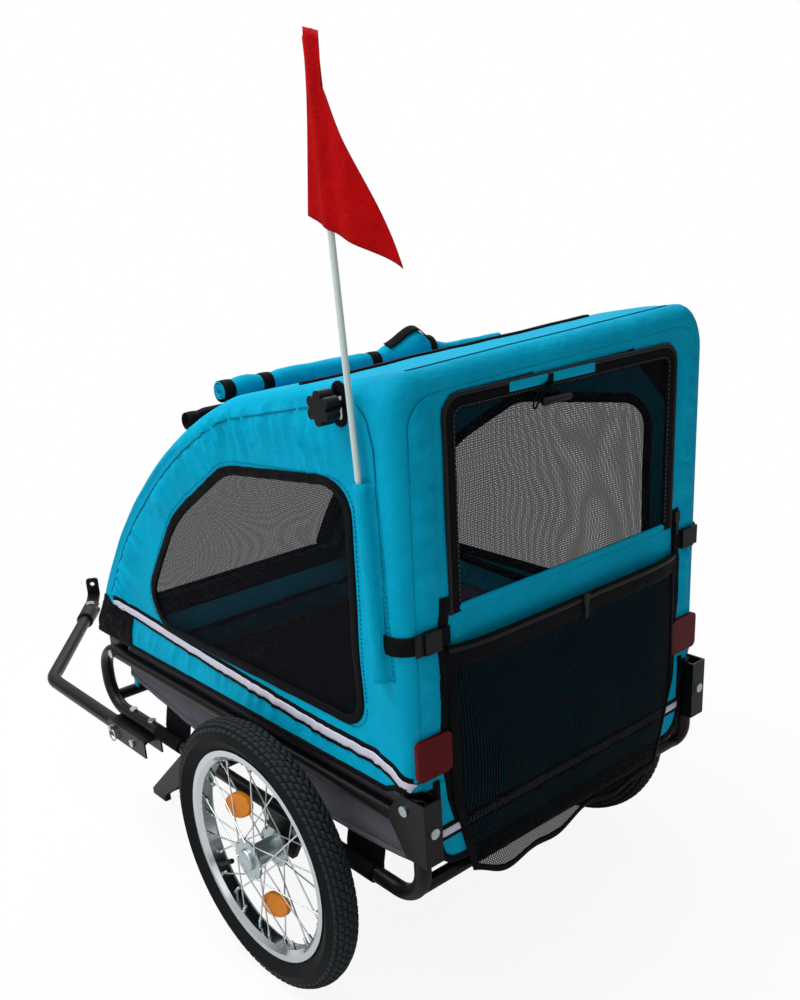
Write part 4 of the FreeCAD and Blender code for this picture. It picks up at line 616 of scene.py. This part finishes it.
window = {"corners": [(-195, 456), (276, 457), (322, 498), (215, 648), (62, 742), (-195, 768)],
          "radii": [34, 46, 44, 260, 100, 38], "binding": 13, "hem": 7, "facing": 12}
windowLine = roundCorners(window["corners"], window["radii"])
knobSlot = {"y": -195, "z": 857, "halfWidth": 8, "halfHeight": 20, "binding": 8}
slotCorners = [(knobSlot["y"] + a * knobSlot["halfWidth"], knobSlot["z"] + b * knobSlot["halfHeight"])
               for a, b in ((-1, -1), (1, -1), (1, 1), (-1, 1))]
slotLine = roundCorners(slotCorners, knobSlot["halfWidth"] - 0.5)
frontWindow = {"halfWidth": 190, "low": 0.035, "high": 0.86, "band": 18, "netHalf": 194, "netLow": 0.025,
               "netRise": 0.845, "facing": 28}


def keepCanopy(x, y, z):
    if abs(x) > 255 and (inside(y, z, windowLine) or inside(y, z, slotLine)):
        return False
    share = (math.atan2(z - bowZ, y - bowY) - bowLow) / (bowHigh - bowLow)
    onFront = y > 40 and abs(x) < frontWindow["halfWidth"]
    return not (onFront and frontWindow["low"] < share < frontWindow["high"])


canopyPiece = clothSheet("canopy_cloth", canopyRows, turquoiseOxford, (1.58, 1.03),
                         keep=keepCanopy, offset=-1.0)
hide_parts("side_panel_right", "side_panel_left", "roof_panel", "front_panel")
print("canopy made")


def grown(outline, margin):  # an outline moved outwards, for hems and stitches
    middle = sum((Vector(p) for p in outline), Vector((0, 0))) / len(outline)
    return [tuple(Vector(p) + (Vector(p) - middle).normalized() * margin) for p in outline]


# windows, stripes and hems of the two sides
# inner: width of the band of painted shade drawn inside the cloth behind the stripe
stripe = {"line": [(446, 459), (408, 456), (171, 438), (-76, 424), (-220, 424), (-250, 418), (-270, 408),
                   (-282, 402)], "band": 24, "silver": 12, "inner": 15}
sideSeam = [(-224, 860), (-240, 848), (-250, 815), (-254, 700), (-256, 560)]
frontGusset = [(524, 386), (481, 464), (440, 450), (388, 443), (408, 386)]
topSeam = [(bowY + (bowRadius - 25) * math.cos(a), bowZ + (bowRadius - 25) * math.sin(a))
           for a in [bowLow + 0.12 + (bowHigh - bowLow - 0.12) * k / 40 for k in range(41)]]
topSeam += [(y, roofHeight(y) - 27) for y in range(10, -180, -20)]
netHeights = [454 + k * 8 for k in range(42)]
netPlaces = [-204 + k * 8 for k in range(68)]
for side, word in ((-1, "left"), (1, "right")):
    out = Vector((side, 0, 0))

    def outward(p):
        return out

    def onSide(y, z, lift=0.0):
        return sideAt(side, y, z, lift)

    def sideTape(name, line, width, thick, material, lift=0.6, closed=False):
        return clothTape(f"{name}_{word}", line, onSide, width, thick, material, closed=closed, lift=lift)

    netLine = grown(windowLine, window["hem"])
    rows = [[sideAt(side, y, z, -2.0) for y in netPlaces] for z in netHeights]
    net = clothSheet(f"side_net_{word}", rows, windowNet, (0.54, 0.335),
                     keep=lambda x, y, z: inside(y, z, netLine), cloth=0)
    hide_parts(f"side_mesh_{word}")
    sideTape("window_binding", flatLine(windowLine, 9, True), window["binding"], 2.2, blackWebbing, 0.4, True)
    threadLine = flatLine(grown(windowLine, 13), 6, True)
    stitches(f"window_stitches_{word}", [sideAt(side, y, z, 0.2) for y, z in threadLine], outward)
    sideTape("slot_binding", flatLine(grown(slotLine, 2), 4, True), knobSlot["binding"], 2.0, blackWebbing,
             0.4, True)
    sideTape("stripe_band", flatLine(stripe["line"], 7), stripe["band"], 1.0, blackWebbing)
    sideTape("stripe_silver", flatLine(stripe["line"], 7), stripe["silver"], 1.0, silverTape, 1.3)
    sideTape("side_hem", [(y, footAt(y) + 4) for y in range(-276, 526, 6)], 7, 2.0, blackWebbing, 0.4)
    sideTape("side_seam", flatLine(sideSeam, 8), 2.4, 0.7, tealThread, 0.5)
    sideTape("top_seam", flatLine(topSeam, 7), 2.4, 0.7, tealThread, 0.5)
    sideTape("window_facing", flatLine(grown(windowLine, 4), 9, True), window["facing"], 0.8, blackOxford,
             -3.6, True)
    # a black band on the inside of the cloth behind the stripe: painted shade, where the stripe on the
    # outside keeps light from shining through the cloth
    sideTape("stripe_painted_shade", flatLine(stripe["line"], 9), stripe["inner"], 0.8, blackWebbing, -3.6)
    rows = [[onSide(388 + 146 * i / 60, 384 + 83 * k / 36, 1.6) for i in range(61)] for k in range(37)]
    clothSheet(f"front_gusset_{word}", rows, blackOxford, (0.146, 0.083),
               keep=lambda x, y, z: inside(y, z, frontGusset), cloth=1.0)
print("side windows, stripes and hems made")

# rear cloth round the door, and the skirt below it
rear = {"foot": 394, "top": 875, "edge": 42, "back": -285.4, "lap": 0.8, "folds": 9.0, "reflectorZ": 438,
        "buckleZ": 587, "doorFootZ": 606, "rowsUp": 83, "columns": 76}
behind = Vector((0, -1, 0))


def backward(p):
    return behind


def rearAt(x, z, lift=0.0):
    across = abs(x)
    loose = min(clamp((z - 280) / 40), clamp((880 - z) / 50))
    if across > 205:  # flat under the reflectors and the buckles
        loose *= clamp((abs(z - rear["reflectorZ"]) - 29) / 22) * clamp((abs(z - rear["buckleZ"]) - 14) / 16)
    else:  # flat along the door's foot, where the door folds down
        loose *= clamp((abs(z - rear["doorFootZ"]) - 9) / 16)
    bulge = (1.4 + 0.7 * ruffle(x, canopy["back"], z)) * clamp((262 - across) / 30)
    inner = 225 + 8 * clamp((660 - z) / 24)
    folds = rear["folds"] * pulled(z * 0.04 + across * 0.016, x * 0.006, 2)
    folds = folds * clamp((across - inner) / 9) * clamp((263 - across) / 12)
    out = loose * (bulge + folds * clamp((z - 402) / 24))
    return at(x, rear["back"] - max(out, 0) - lift, z)


rearRows = []
cornerReach = sideReach(canopy["back"], rear["top"])
for k in range(rear["rowsUp"] + 1):
    t = k / rear["rowsUp"]
    row = []
    for j in range(rear["columns"] + 1):
        u = math.sin(math.pi * (j / rear["columns"] - 0.5))
        over = max(0, abs(u) * cornerReach - (cornerReach - rear["edge"]))
        arch = rear["edge"] + looseRoof(u * cornerReach, canopy["back"])
        arch *= math.sqrt(max(1 - (over / rear["edge"]) ** 2, 0))
        z = rear["foot"] + (rear["top"] - rear["edge"] + arch - rear["foot"]) * t
        row.append(rearAt(u * (sideReach(canopy["back"], z) + rear["lap"]), z))
    rearRows.append(row)
doorHole = roundCorners([(-213, 612), (213, 612), (213, 865), (-213, 865)], [6, 6, 27, 27])
rearPiece = clothSheet("rear_cloth", rearRows, turquoiseOxford, (0.54, 0.50),
                       keep=lambda x, y, z: not inside(x, z, doorHole))
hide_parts("rear_panel")

skirt = {"outline": [(-246, 402), (-246, 311), (-240, 292), (-226, 280), (-208, 277), (208, 277), (226, 280),
                     (240, 292), (246, 311), (246, 402)], "halfWidth": 246, "foot": 277, "rise": 123,
         "edging": 10, "band": 22, "silver": 11, "stripeZ": 325, "stripeHalf": 243}
half, foot = skirt["halfWidth"], skirt["foot"]
skirtRows = [[rearAt(-half + 2 * half * j / 70, foot + skirt["rise"] * k / 17, 0.3) for j in range(71)]
             for k in range(18)]
skirtPiece = clothSheet("skirt_cloth", skirtRows, turquoiseOxford, (0.493, 0.125),
                        keep=lambda x, y, z: inside(x, z, skirt["outline"]))
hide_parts("rear_skirt")
clothTape("skirt_edging", flatLine(skirt["outline"], 6), rearAt, skirt["edging"], 2.2, blackWebbing, lift=1.6)
half = skirt["stripeHalf"]
skirtStripe = [(-half + 2 * half * k / 80, skirt["stripeZ"]) for k in range(81)]
clothTape("skirt_band", skirtStripe, rearAt, skirt["band"], 1.0, blackWebbing, lift=1.6)
clothTape("skirt_silver", skirtStripe, rearAt, skirt["silver"], 1.6, silverTape, lift=1.6)
print("rear cloth and skirt made")

# rear door: zip band on three sides, turquoise hem below, net pane, pull tab, toggle and elastic loop
door = {"halfWidth": 212, "foot": 608, "head": 864, "band": 19, "teeth": 5.5, "face": -286.6, "hemHalf": 202,
        "hemZ": 613.5, "netHalf": 196, "netFoot": 610, "netRise": 238, "netSag": 2.5, "stripZ": 857,
        "tabX": -38, "toggleZ": 831}


def doorAt(x, z, lift=0.0):
    return at(x, door["face"] - lift, z)


def doorFrame(inset, bend):  # up the left edge, across the top and down the right
    half, head = door["halfWidth"] - inset, door["head"] - inset
    arc = roundCorners([(-half, door["foot"] - 200), (half, door["foot"] - 200), (half, head), (-half, head)],
                       [1, 1, bend, bend])
    upper = [p for p in arc if p[1] > door["foot"]]
    return [(half, door["foot"] + 1), *upper, (-half, door["foot"] + 1)]


def netSag(j, k):  # the pane gives a little towards its middle
    return door["netSag"] * math.sin(math.pi * j / 60) * math.sin(math.pi * k / 36)


bandLine = [doorAt(x, z) for x, z in flatLine(doorFrame(9.5, 18), 4)]
bandPiece = ribbon("door_zip_band", bandLine, backward, door["band"], 3.0, blackWebbing, "rear_door",
                   lift=-1.0)
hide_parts("rear_door_frame")
teethLine = [doorAt(x, z) for x, z in flatLine(doorFrame(1.5, 25), 4)]
ribbon("door_zip_teeth", teethLine, backward, door["teeth"], 2.4, mouldedNylon, "rear_door",
       lift=0.6)
threadLine = [doorAt(x, z, 1.6) for x, z in flatLine(doorFrame(16, 12), 6) if z > door["foot"] + 10]
stitches("door_stitches", threadLine, backward, greyOxford, "rear_door", 0.8)
half = door["hemHalf"]
hemLine = [doorAt(-half + 2 * half * k / 40, door["hemZ"] - math.sin(math.pi * k / 40)) for k in range(41)]
ribbon("door_foot_hem", hemLine, backward, 10, 2.4, turquoiseOxford, "rear_door",
       lift=-0.8)
half = door["netHalf"]
paneRows = [[doorAt(-half + 2 * half * j / 60, door["netFoot"] + door["netRise"] * k / 36,
                    -1.6 - netSag(j, k)) for j in range(61)] for k in range(37)]
panePiece = clothSheet("door_net", paneRows, windowNet, (0.393, 0.239),
                       "rear_door", cloth=0)
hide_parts("rear_door_mesh")
ribbon("door_tab_strip", [doorAt(x, door["stripZ"]) for x in range(-107, 44, 6)], backward, 12, 1.4,
       turquoiseOxford, "rear_door", lift=2.0)
ribbon("door_pull_tab", [doorAt(door["tabX"], z) for z in (862, 852, 842, 834)], backward, 9, 1.4,
       blackWebbing, "rear_door", lift=3.2)
rodPiece("door_toggle", [doorAt(x, door["toggleZ"], 5.6) for x in (-55, -52.5, -30, -7.5, -5)],
         [3.4, 5.2, 4.6, 5.2, 3.4], mouldedNylon, "rear_door")
loop = {"line": [(-38, 858), (-50, 851.5), (-61, 845), (-67, 838.5), (-70.5, 832), (-71.3, 829),
                 (-70.4, 826.6), (-68, 825.8), (-65.6, 826.8), (-62, 832), (-57, 839), (-48, 845.5),
                 (-38, 850)], "diameter": 2.4, "lift": 5.4}
loopPath = [doorAt(x, z, loop["lift"]) for x, z in flatLine(loop["line"], 1.5)]
loopPiece = rodPiece("door_loop", loopPath, [loop["diameter"] / 2] * len(loopPath), elasticCord, "rear_door",
                     10)
pocketTape = [(221, 634), (224, 596), (226, 560), (226, 420), (221, 372), (211, 338)]
for side, word in ((-1, "left"), (1, "right")):
    tape = [(side * x, z) for x, z in pocketTape]
    clothTape(f"pocket_tape_{word}", flatLine(tape, 5), rearAt, 16, 1.4, blackWebbing, lift=1.3)
print("rear door made")

# rear pocket: a net pouch that bellies out below its zip
pocket = {"halfWidth": 222, "footHalfWidth": 190, "head": 574, "foot": 234, "depth": 37, "mouth": 12,
          "back": -287.6, "binding": 12, "zipBand": 30, "teeth": 5, "folds": 11}


def pocketAt(u, t, lift=0.0):
    p = pocket
    foot = p["foot"] + 7 * math.sin(u * 5.1 + 0.6) + 5 * math.sin(u * 11.0) + 10 * u * u
    foot += 9 * clamp(u) ** 2 - 12 * math.exp(-((u + 0.8) / 0.35) ** 2)
    z = foot + (p["head"] - foot) * t
    width = p["footHalfWidth"] + (p["halfWidth"] - p["footHalfWidth"]) * min(1, t / 0.36)
    belly = math.sin(math.pi * min(t / 0.86, 1)) ** 0.8 * (1 - u ** 4) * 0.75
    folds = p["folds"] * math.sin(u * 9 + 2 * t) * (1 - t) * t * (1 - u * u)
    deep = 1.4 + p["mouth"] * (0.25 + 0.75 * t) * (1 - u ** 8) + belly * (p["depth"] - p["mouth"]) + folds
    return at(u * width, p["back"] - max(deep, 0.6) - lift, z)


pocketRows = [[pocketAt(-1 + 2 * j / 72, k / 60) for j in range(73)] for k in range(61)]
pocketPiece = clothSheet("pocket_net", pocketRows, pocketNet, (0.47, 0.40),
                         cloth=0)
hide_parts("rear_pocket")


def onPocket(x, z, lift=0.0):
    share = (z - pocket["foot"]) / (pocket["head"] - pocket["foot"])
    return pocketAt(clamp(x / pocket["halfWidth"], -1, 1), clamp(share), lift)


half, inset = pocket["halfWidth"], pocket["binding"] / 2
edgeHeights = [240 + 332 * k / 60 for k in range(61)]
pocketEdges = {"left": [(inset - half, z) for z in edgeHeights],
               "right": [(half - inset, z) for z in edgeHeights],
               "foot": [(-half + 2 * half * k / 90, pocket["foot"] + inset) for k in range(91)]}
for word, path in pocketEdges.items():
    clothTape(f"pocket_binding_{word}", path, onPocket, pocket["binding"], 2.0, blackWebbing)
zipLine = [(-half + 2 * half * k / 90, pocket["head"] - 16) for k in range(91)]
clothTape("pocket_zip_band", zipLine, onPocket, pocket["zipBand"], 1.4, blackWebbing)
teethLine = [pocketAt(-0.99 + 1.98 * k / 90, 0.978, 1.4) for k in range(91)]
ribbon("pocket_zip_teeth", teethLine, backward, pocket["teeth"], 1.8, mouldedNylon)
print("pocket made")

# grey tub sides, turquoise tub front, floor pad and the sleeves that hang on the lower rails
tub = {"profile": [(262, 0.0), (262.5, 0.2), (262, 0.4), (260.5, 0.58), (257.5, 0.7), (257.5, 0.84),
                   (262, 0.91), (272, 0.96), (280, 1.0)], "head": 387, "slack": 2.4,
       "foot": [(480, 312), (426, 302), (268, 277), (0, 268), (-200, 276), (-286, 288)]}


def tubFoot(y):
    for (y0, z0), (y1, z1) in zip(tub["foot"], tub["foot"][1:]):
        if y >= y1:
            return z0 + (z1 - z0) * (y0 - y) / (y0 - y1)
    return tub["foot"][-1][1]


def tubSideAt(side, x, y, share):
    give = tub["slack"] * abs(noise.noise(Vector((y * 0.013, share * 2, side)))) * (1 - share)
    return at(side * (x - give), y, tubFoot(y) + (tub["head"] - tubFoot(y)) * share)


for side, word in ((-1, "left"), (1, "right")):
    rows = [[tubSideAt(side, x, y, share) for y in range(-283, 481, 9)] for x, share in tub["profile"]]
    piece = clothSheet(f"tub_side_{word}", rows, greyOxford, (0.766, 0.14))
    hem = rows[0] if side < 0 else rows[0][::-1]
    ribbon(f"tub_hem_{word}", hem, lambda p: Vector((side, 0, 0)), 9, 1.6, greyOxford,
           lift=0.4)
    if side < 0:
        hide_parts("lower_sides")
tubFront = {"foot": 286, "head": 408, "facing": 26, "facingZ": 396, "stripe": 9, "stripeZ": 344}


def tubFrontAt(x, z, lift=0.0):  # lift is towards the inside, where the window shows it
    out = 40 * clamp((z - 340) / 70) ** 1.5 + 2 * noise.noise(Vector((x * 0.01, z * 0.02, 5)))
    reach = 259 + 21 * clamp((z - 362) / 20)
    return at(clamp(x, -reach, reach), 478 + out - 18 * clamp((abs(x) - 248) / 30) - lift, z)


frontHeights = range(tubFront["foot"], tubFront["head"], 8)
frontRows = [[tubFrontAt(x, z) for x in range(-280, 281, 10)] for z in frontHeights]
clothSheet("tub_front", frontRows, turquoiseOxford, (0.56, 0.14))
for name in ("facing", "stripe"):
    line = [(x, tubFront[name + "Z"]) for x in range(-246, 247, 12)]
    clothTape(f"tub_front_{name}", line, tubFrontAt, tubFront[name], 0.8, blackWebbing, lift=1.4)

pad = {"halfWidth": 241, "back": -277, "front": 471, "foot": 292.5, "height": 22, "crown": 6, "bend": 55,
       "drawIn": 12, "voxel": 0.006, "pressure": 4.0, "frames": 20, "most": 0.005}
padRows = []
for k in range(11):
    a = math.pi * (k / 10 - 0.5)
    inset = pad["drawIn"] * (1 - math.cos(a))
    half, low, high = pad["halfWidth"] - inset, pad["back"] + inset, pad["front"] - inset
    z = pad["foot"] + pad["height"] / 2 * (1 + math.sin(a))
    padCorners = [(-half, low), (half, low), (half, high), (-half, high)]
    padRows.append([at(x, y, z) for x, y in roundCorners(padCorners, pad["bend"], 8)])
padMiddle = at(0, (pad["back"] + pad["front"]) / 2, 0)
for share in (0.8, 0.5, 0.2):
    z = (pad["foot"] + pad["height"] + pad["crown"] * (1 - share)) / 1000
    padRows.append([Vector((p.x * share, padMiddle.y + (p.y - padMiddle.y) * share, z)) for p in padRows[10]])
padPiece = addPiece("floor_cushion", gridMesh("floor_cushion", padRows, closed=True, capped=True),
                    blackOxford, "base")
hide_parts("floor_pad")
with bpy.context.temp_override(object=padPiece, active_object=padPiece, selected_objects=[padPiece]):
    padPiece.data.remesh_voxel_size = pad["voxel"]
    bpy.ops.object.voxel_remesh()
before = [v.co.copy() for v in padPiece.data.vertices]
puff = padPiece.modifiers.new("puff", "CLOTH")
puff.settings.use_pressure = True
puff.settings.uniform_pressure_force = pad["pressure"]
puff.settings.effector_weights.gravity = 0
puff.point_cache.frame_end = pad["frames"]
for step in range(1, pad["frames"] + 1):
    scene.frame_set(step)
shaped = padPiece.evaluated_get(bpy.context.evaluated_depsgraph_get())
after = [v.co.copy() for v in shaped.data.vertices]
padPiece.modifiers.remove(puff)
scene.frame_set(1)
for vertex, was, now in zip(padPiece.data.vertices, before, after):
    move = now - was
    if move.length > pad["most"]:
        move *= pad["most"] / move.length
    vertex.co = was + move
    vertex.co.z = max(vertex.co.z, pad["foot"] / 1000)
for face in padPiece.data.polygons:
    face.use_smooth = True

sleeve = {"length": 78, "places": (342, -150), "rail": (270, 232), "wrap": 12.6, "top": (248, 287)}
sleeveTurns = [m * math.pi / 8 for m in range(13)]
for side in (-1, 1):
    for number, middle in enumerate(sleeve["places"]):
        rows = []
        for k in range(12):
            y = middle - sleeve["length"] / 2 + sleeve["length"] * k / 11
            topX = sleeve["top"][0] + 1.5 * noise.noise(Vector((k * 0.5, side, middle)))
            row = [at(side * topX, y, sleeve["top"][1]), at(side * 253, y, 262), at(side * 257, y, 242)]
            row += [at(side * (sleeve["rail"][0] - sleeve["wrap"] * math.cos(a)), y,
                       sleeve["rail"][1] - sleeve["wrap"] * math.sin(a)) for a in sleeveTurns]
            rows.append(row)
        rail = "side_loop_left" if side < 0 else "side_loop_right"
        piece = clothSheet(f"{rail}_sleeve_{number + 1}", rows, blackOxford, (0.079, 0.12),
                           cloth=1.2)
        if side < 0 and number == 0:
            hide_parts("floor_slings")
print("tub, pad and sleeves made")

# front net, and the covers rolled up above it
half, low, rise = frontWindow["netHalf"], frontWindow["netLow"], frontWindow["netRise"]
netRows = [[onBow(-half + 2 * half * j / 40, low + rise * k / 52, -2.2) for j in range(41)]
           for k in range(53)]
frontNetPiece = clothSheet("front_net", netRows, windowNet, (0.389, 0.58),
                           cloth=0)
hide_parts("front_mesh")
half, low, high = frontWindow["halfWidth"], frontWindow["low"], frontWindow["high"]
frontBorder = [(-half, low), (-half, 0.5), (-half, high), (half, high), (half, 0.5), (half, low)]
borderPath = []
for (x0, s0), (x1, s1) in zip(frontBorder, frontBorder[1:] + frontBorder[:1]):
    borderPath += [onBow(x0 + (x1 - x0) * k / 20, s0 + (s1 - s0) * k / 20) for k in range(20)]
ribbon("front_binding", borderPath, bowNormal, frontWindow["band"], 2.6, blackWebbing, closed=True, lift=-0.4)
facingPath = [onBow(half + 13, 0.045 + 0.815 * k / 40) for k in range(41)]
for word, flip in (("right", 1), ("left", -1)):
    edgePath = [Vector((flip * p.x, p.y, p.z)) for p in facingPath]
    ribbon(f"front_facing_{word}", edgePath, bowNormal, frontWindow["facing"], 0.8, blackOxford, lift=-6.5)
ribbon("front_hem", [onBow(x, 0.01) for x in range(-270, 271, 12)], bowNormal, 7, 2.0, blackWebbing, lift=0.4)

rolls = {
    "cover_roll": {"radius": 15, "turns": 2.6, "ties": (-252, -190, 0, 104), "swell": (72, 34, 15),
                   "cloth": turquoiseOxford, "slot": "turquoise_cloth", "flat": (0.525, 0.24)},
    "rain_roll": {"radius": 12.5, "turns": 2.4, "ties": (-256, -120, 120), "swell": (0, 60, 2),
                  "cloth": blackOxford, "slot": "black_cloth", "flat": (0.525, 0.16)},
}
tieWidth, crestWidth, crestTurn = 18, 16, math.radians(112)
tieTurns = [math.tau * m / 28 for m in range(28)]
for node, roll in rolls.items():
    low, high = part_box(node)
    centre = (low + high) / 2
    place, spread, rise = roll["swell"]

    def rollRadius(x):
        tied = min([1.0] + [0.8 + 0.2 * clamp(abs(x - tie) / 24) for tie in roll["ties"]])
        slim = 1 - 0.38 * clamp((x - place - spread) / 40)
        return roll["radius"] * tied * slim + rise * math.exp(-((x - place) / spread) ** 2)

    rows = []
    for k in range(89):
        x = low.x * 1000 + (high.x - low.x) * 1000 * k / 88
        radius = rollRadius(x)
        row = []
        for m in range(64):
            a = m / 63 * math.tau * roll["turns"]
            crumple = 1.2 * noise.noise(Vector((x * 0.03, math.cos(a) * 1.5, math.sin(a) * 1.5)))
            r = radius * (0.3 + 0.7 * m / 63) + crumple
            row.append(centre + Vector((x / 1000, r * math.cos(a) / 1000,
                                        (r * math.sin(a) + 0.6 * (radius - roll["radius"])) / 1000)))
        rows.append(row)
    piece = clothSheet(node + "_cloth", rows, roll["cloth"], roll["flat"],
                       cloth=1.2)
    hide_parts(node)
    for number, tie in enumerate(roll["ties"]):
        lifted = centre + Vector((tie / 1000, 0, 0.6 * (rollRadius(tie) - roll["radius"]) / 1000))
        radius = rollRadius(tie) + 1.0
        ring = [lifted + Vector((0, math.cos(a), math.sin(a))) * (radius / 1000) for a in tieTurns]
        ribbon(f"{node}_tie_{number + 1}", ring, lambda p: (p - lifted).normalized(), tieWidth, 1.6,
               blackWebbing, closed=True)
    if rise > 10:  # a tape along the thick middle of the cover
        crestUp = Vector((0, math.cos(crestTurn), math.sin(crestTurn)))
        crest = []
        for x in range(place - 48, place + 36, 4):
            skin = rollRadius(x) + 0.6
            height = skin * math.sin(crestTurn) + 0.6 * (rollRadius(x) - roll["radius"])
            crest.append(centre + Vector((x / 1000, skin * math.cos(crestTurn) / 1000, height / 1000)))
        ribbon(node + "_crest", crest, lambda p: crestUp, crestWidth, 1.6, blackWebbing)
print("front net and rolls made")


# roof zip and seam
def onRoof(x, y, lift=0.0):
    return roofAt(x, y, roofHeight(y), lift)


roofZip = {"line": [(-262, -104), (212, -134)], "width": 16, "thick": 3.0}
roofSeam = {"line": [(-236, -258), (226, -258)], "width": 2.6, "thick": 0.8}
clothTape("roof_zip", flatLine(roofZip["line"], 7), onRoof, roofZip["width"], roofZip["thick"], blackWebbing)
clothTape("roof_seam", flatLine(roofSeam["line"], 7), onRoof, roofSeam["width"], roofSeam["thick"],
          tealThread)
print("roof zip made")

# flag with its hoist sleeve round the pole, and the cloth pocket that holds the pole
flag = {"lean": 3.7, "foot": (-249, 540), "pole": -291, "head": (-202, 1229), "headBack": (-222, 1223),
        "edge": (-221, 1176), "point": (-322, 1004), "lap": (-180, 1055), "cover": 5.4, "fold": 6,
        "cloth": 0.7, "hoistHead": 1222, "hoist": 178, "pocket": 236, "pocketHalf": 19, "stitchHalf": 17}
leanShare = math.tan(math.radians(flag["lean"]))


def poleAt(z):
    return flag["foot"][0] + (z - flag["foot"][1]) * leanShare


def flagPlace(s, t, side):
    head, back, edge, point, lap = [Vector(flag[k]) for k in ("head", "headBack", "edge", "point", "lap")]
    fore = head.lerp(lap, t)
    aft = back.lerp(edge, t / 0.2) if t < 0.2 else edge.lerp(point, (t - 0.2) / 0.8)
    p = fore.lerp(aft, s)
    off = p.x - poleAt(p.y)
    cover = flag["cover"] * math.exp(-(off / 10) ** 2) * (1 if side < 0 else -1)
    fold = flag["fold"] * math.sin(off * 0.055) * clamp(-off / 40)
    return at(flag["pole"] - cover + fold, p.x, p.y)


flagRows = [[flagPlace(j / 30, k / 30, -1) for j in range(31)] for k in range(31)]
flagPiece = clothSheet("flag_cloth", flagRows, flagNylon, (0.226, 0.145),
                       "flag", cloth=flag["cloth"])
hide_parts("flag")
hoistHeights = [flag["hoistHead"] - flag["hoist"] * k / 24 for k in range(25)]
hoistRows = [[at(flag["pole"] + flag["cover"] * math.cos(math.pi / 2 * w), poleAt(z) + 12 * w, z)
              for w in [j / 6 - 1 for j in range(13)]] for z in hoistHeights]
clothSheet("flag_hoist", hoistRows, flagNylon, (0.18, 0.03), "flag",
           cloth=flag["cloth"])

half = flag["pocketHalf"]
poleRows = []
for k in range(31):
    z = flag["foot"][1] + flag["pocket"] * k / 30
    y = poleAt(z)
    bulge = [at(-sideReach(y, z) - 0.5 - 15 * math.sin(a) ** 0.7, y - 9.5 * math.cos(a), z)
             for a in [m * math.pi / 12 for m in range(13)]]
    poleRows.append([sideAt(-1, y - half, z, 0.4), *bulge, sideAt(-1, y + half, z, 0.4)])
polePocket = clothSheet("flag_pocket", poleRows, turquoiseOxford, (0.237, 0.064),
                        cloth=1.2)
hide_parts("flag_sleeve")
stitchHeights = range(flag["foot"][1], flag["foot"][1] + flag["pocket"] + 1, 6)
for word, offset in (("front", flag["stitchHalf"]), ("rear", -flag["stitchHalf"])):
    stitches(f"flag_pocket_stitches_{word}", [sideAt(-1, poleAt(z) + offset, z, 1.0) for z in stitchHeights],
             lambda p: Vector((-1, 0, 0)))
print("flag made")

# buckle straps, valve stems, tread blocks and spoke nipples
strap = {"z": 587, "width": 24, "thick": 1.8}
wheel = {"radius": 202, "x": 327.5, "blocks": 92, "spokes": 28, "valveTurn": -0.58,
         "rows": ((0, 202, 0), (6.6, 200.8, 8.7), (-6.6, 200.8, -8.7), (12.8, 197.8, 17.5),
                  (-12.8, 197.8, -17.5), (17.6, 190.8, 63.4), (-17.6, 190.8, -63.4))}  # aside, radius, tilt
wrapTurns = [k * math.pi / 16 for k in range(1, 9)]
for side, word in ((-1, "left"), (1, "right")):
    near = [at(side * x, -289.5, strap["z"]) for x in (216, 223, 230, 236)]
    ribbon(f"buckle_strap_{word}", near, backward, strap["width"], strap["thick"], blackWebbing)
    corner = Vector((side * 262, -262))
    bend = [(corner.x + side * 24.5 * math.sin(a), corner.y - 25.5 * math.cos(a)) for a in wrapTurns]
    wrap = [(side * 259.5, -287.5), *bend, (side * 286.5, -246)]
    ribbon(f"buckle_web_{word}", [at(x, y, strap["z"]) for x, y in flatLine(wrap, 6)],
           lambda p: (p - at(corner.x, corner.y, p.z * 1000)).normalized(), strap["width"], strap["thick"],
           blackWebbing)

    middle = at(side * wheel["x"], 0, wheel["radius"])
    shapes = []
    for row, (offset, radius, tilt) in enumerate(wheel["rows"]):
        lean = math.radians(tilt)
        for k in range(wheel["blocks"]):
            a = math.tau * (k + (0.5 if row in (1, 2, 5, 6) else 0)) / wheel["blocks"]
            out = Vector((0, math.cos(a), math.sin(a)))
            along = Vector((0, -math.sin(a), math.cos(a)))
            up = Vector((side * math.sin(lean), 0, 0)) + out * math.cos(lean)
            aside = up.cross(along) + along * (0.6 if offset >= 0 else -0.6)
            base = middle + Vector((side * offset / 1000, 0, 0)) + out * (radius / 1000) - up * 0.0004
            shapes.append(block(base, along * 0.0058, aside * 0.0028, up * 0.0013, 0.88))
    smallParts(f"tread_blocks_{word}", shapes, treadRubber, f"wheel_{word}")
    nipples = []
    for k in range(wheel["spokes"]):
        a = math.tau * k / wheel["spokes"]
        up = Vector((0, -math.cos(a), -math.sin(a)))
        along = Vector((0.0022, 0, 0))
        across = Vector((0, -math.sin(a), math.cos(a))) * 0.0022
        base = middle - up * 0.1435 + Vector((side * (0.003 if k % 2 else -0.003), 0, 0))
        nipples.append(block(base, along, across, up * 0.011, 0.7))
    smallParts(f"spoke_nipples_{word}", nipples, zincPlate, f"wheel_{word}")
    turn = Vector((0, math.cos(wheel["valveTurn"]), math.sin(wheel["valveTurn"])))
    stem = [middle + turn * r for r in (0.146, 0.132, 0.118, 0.116, 0.106)]
    rodPiece(f"valve_{word}", stem, [4.5, 3.6, 3.4, 4.2, 4.0], mouldedNylon, f"wheel_{word}")
print("straps, tread and valves made")
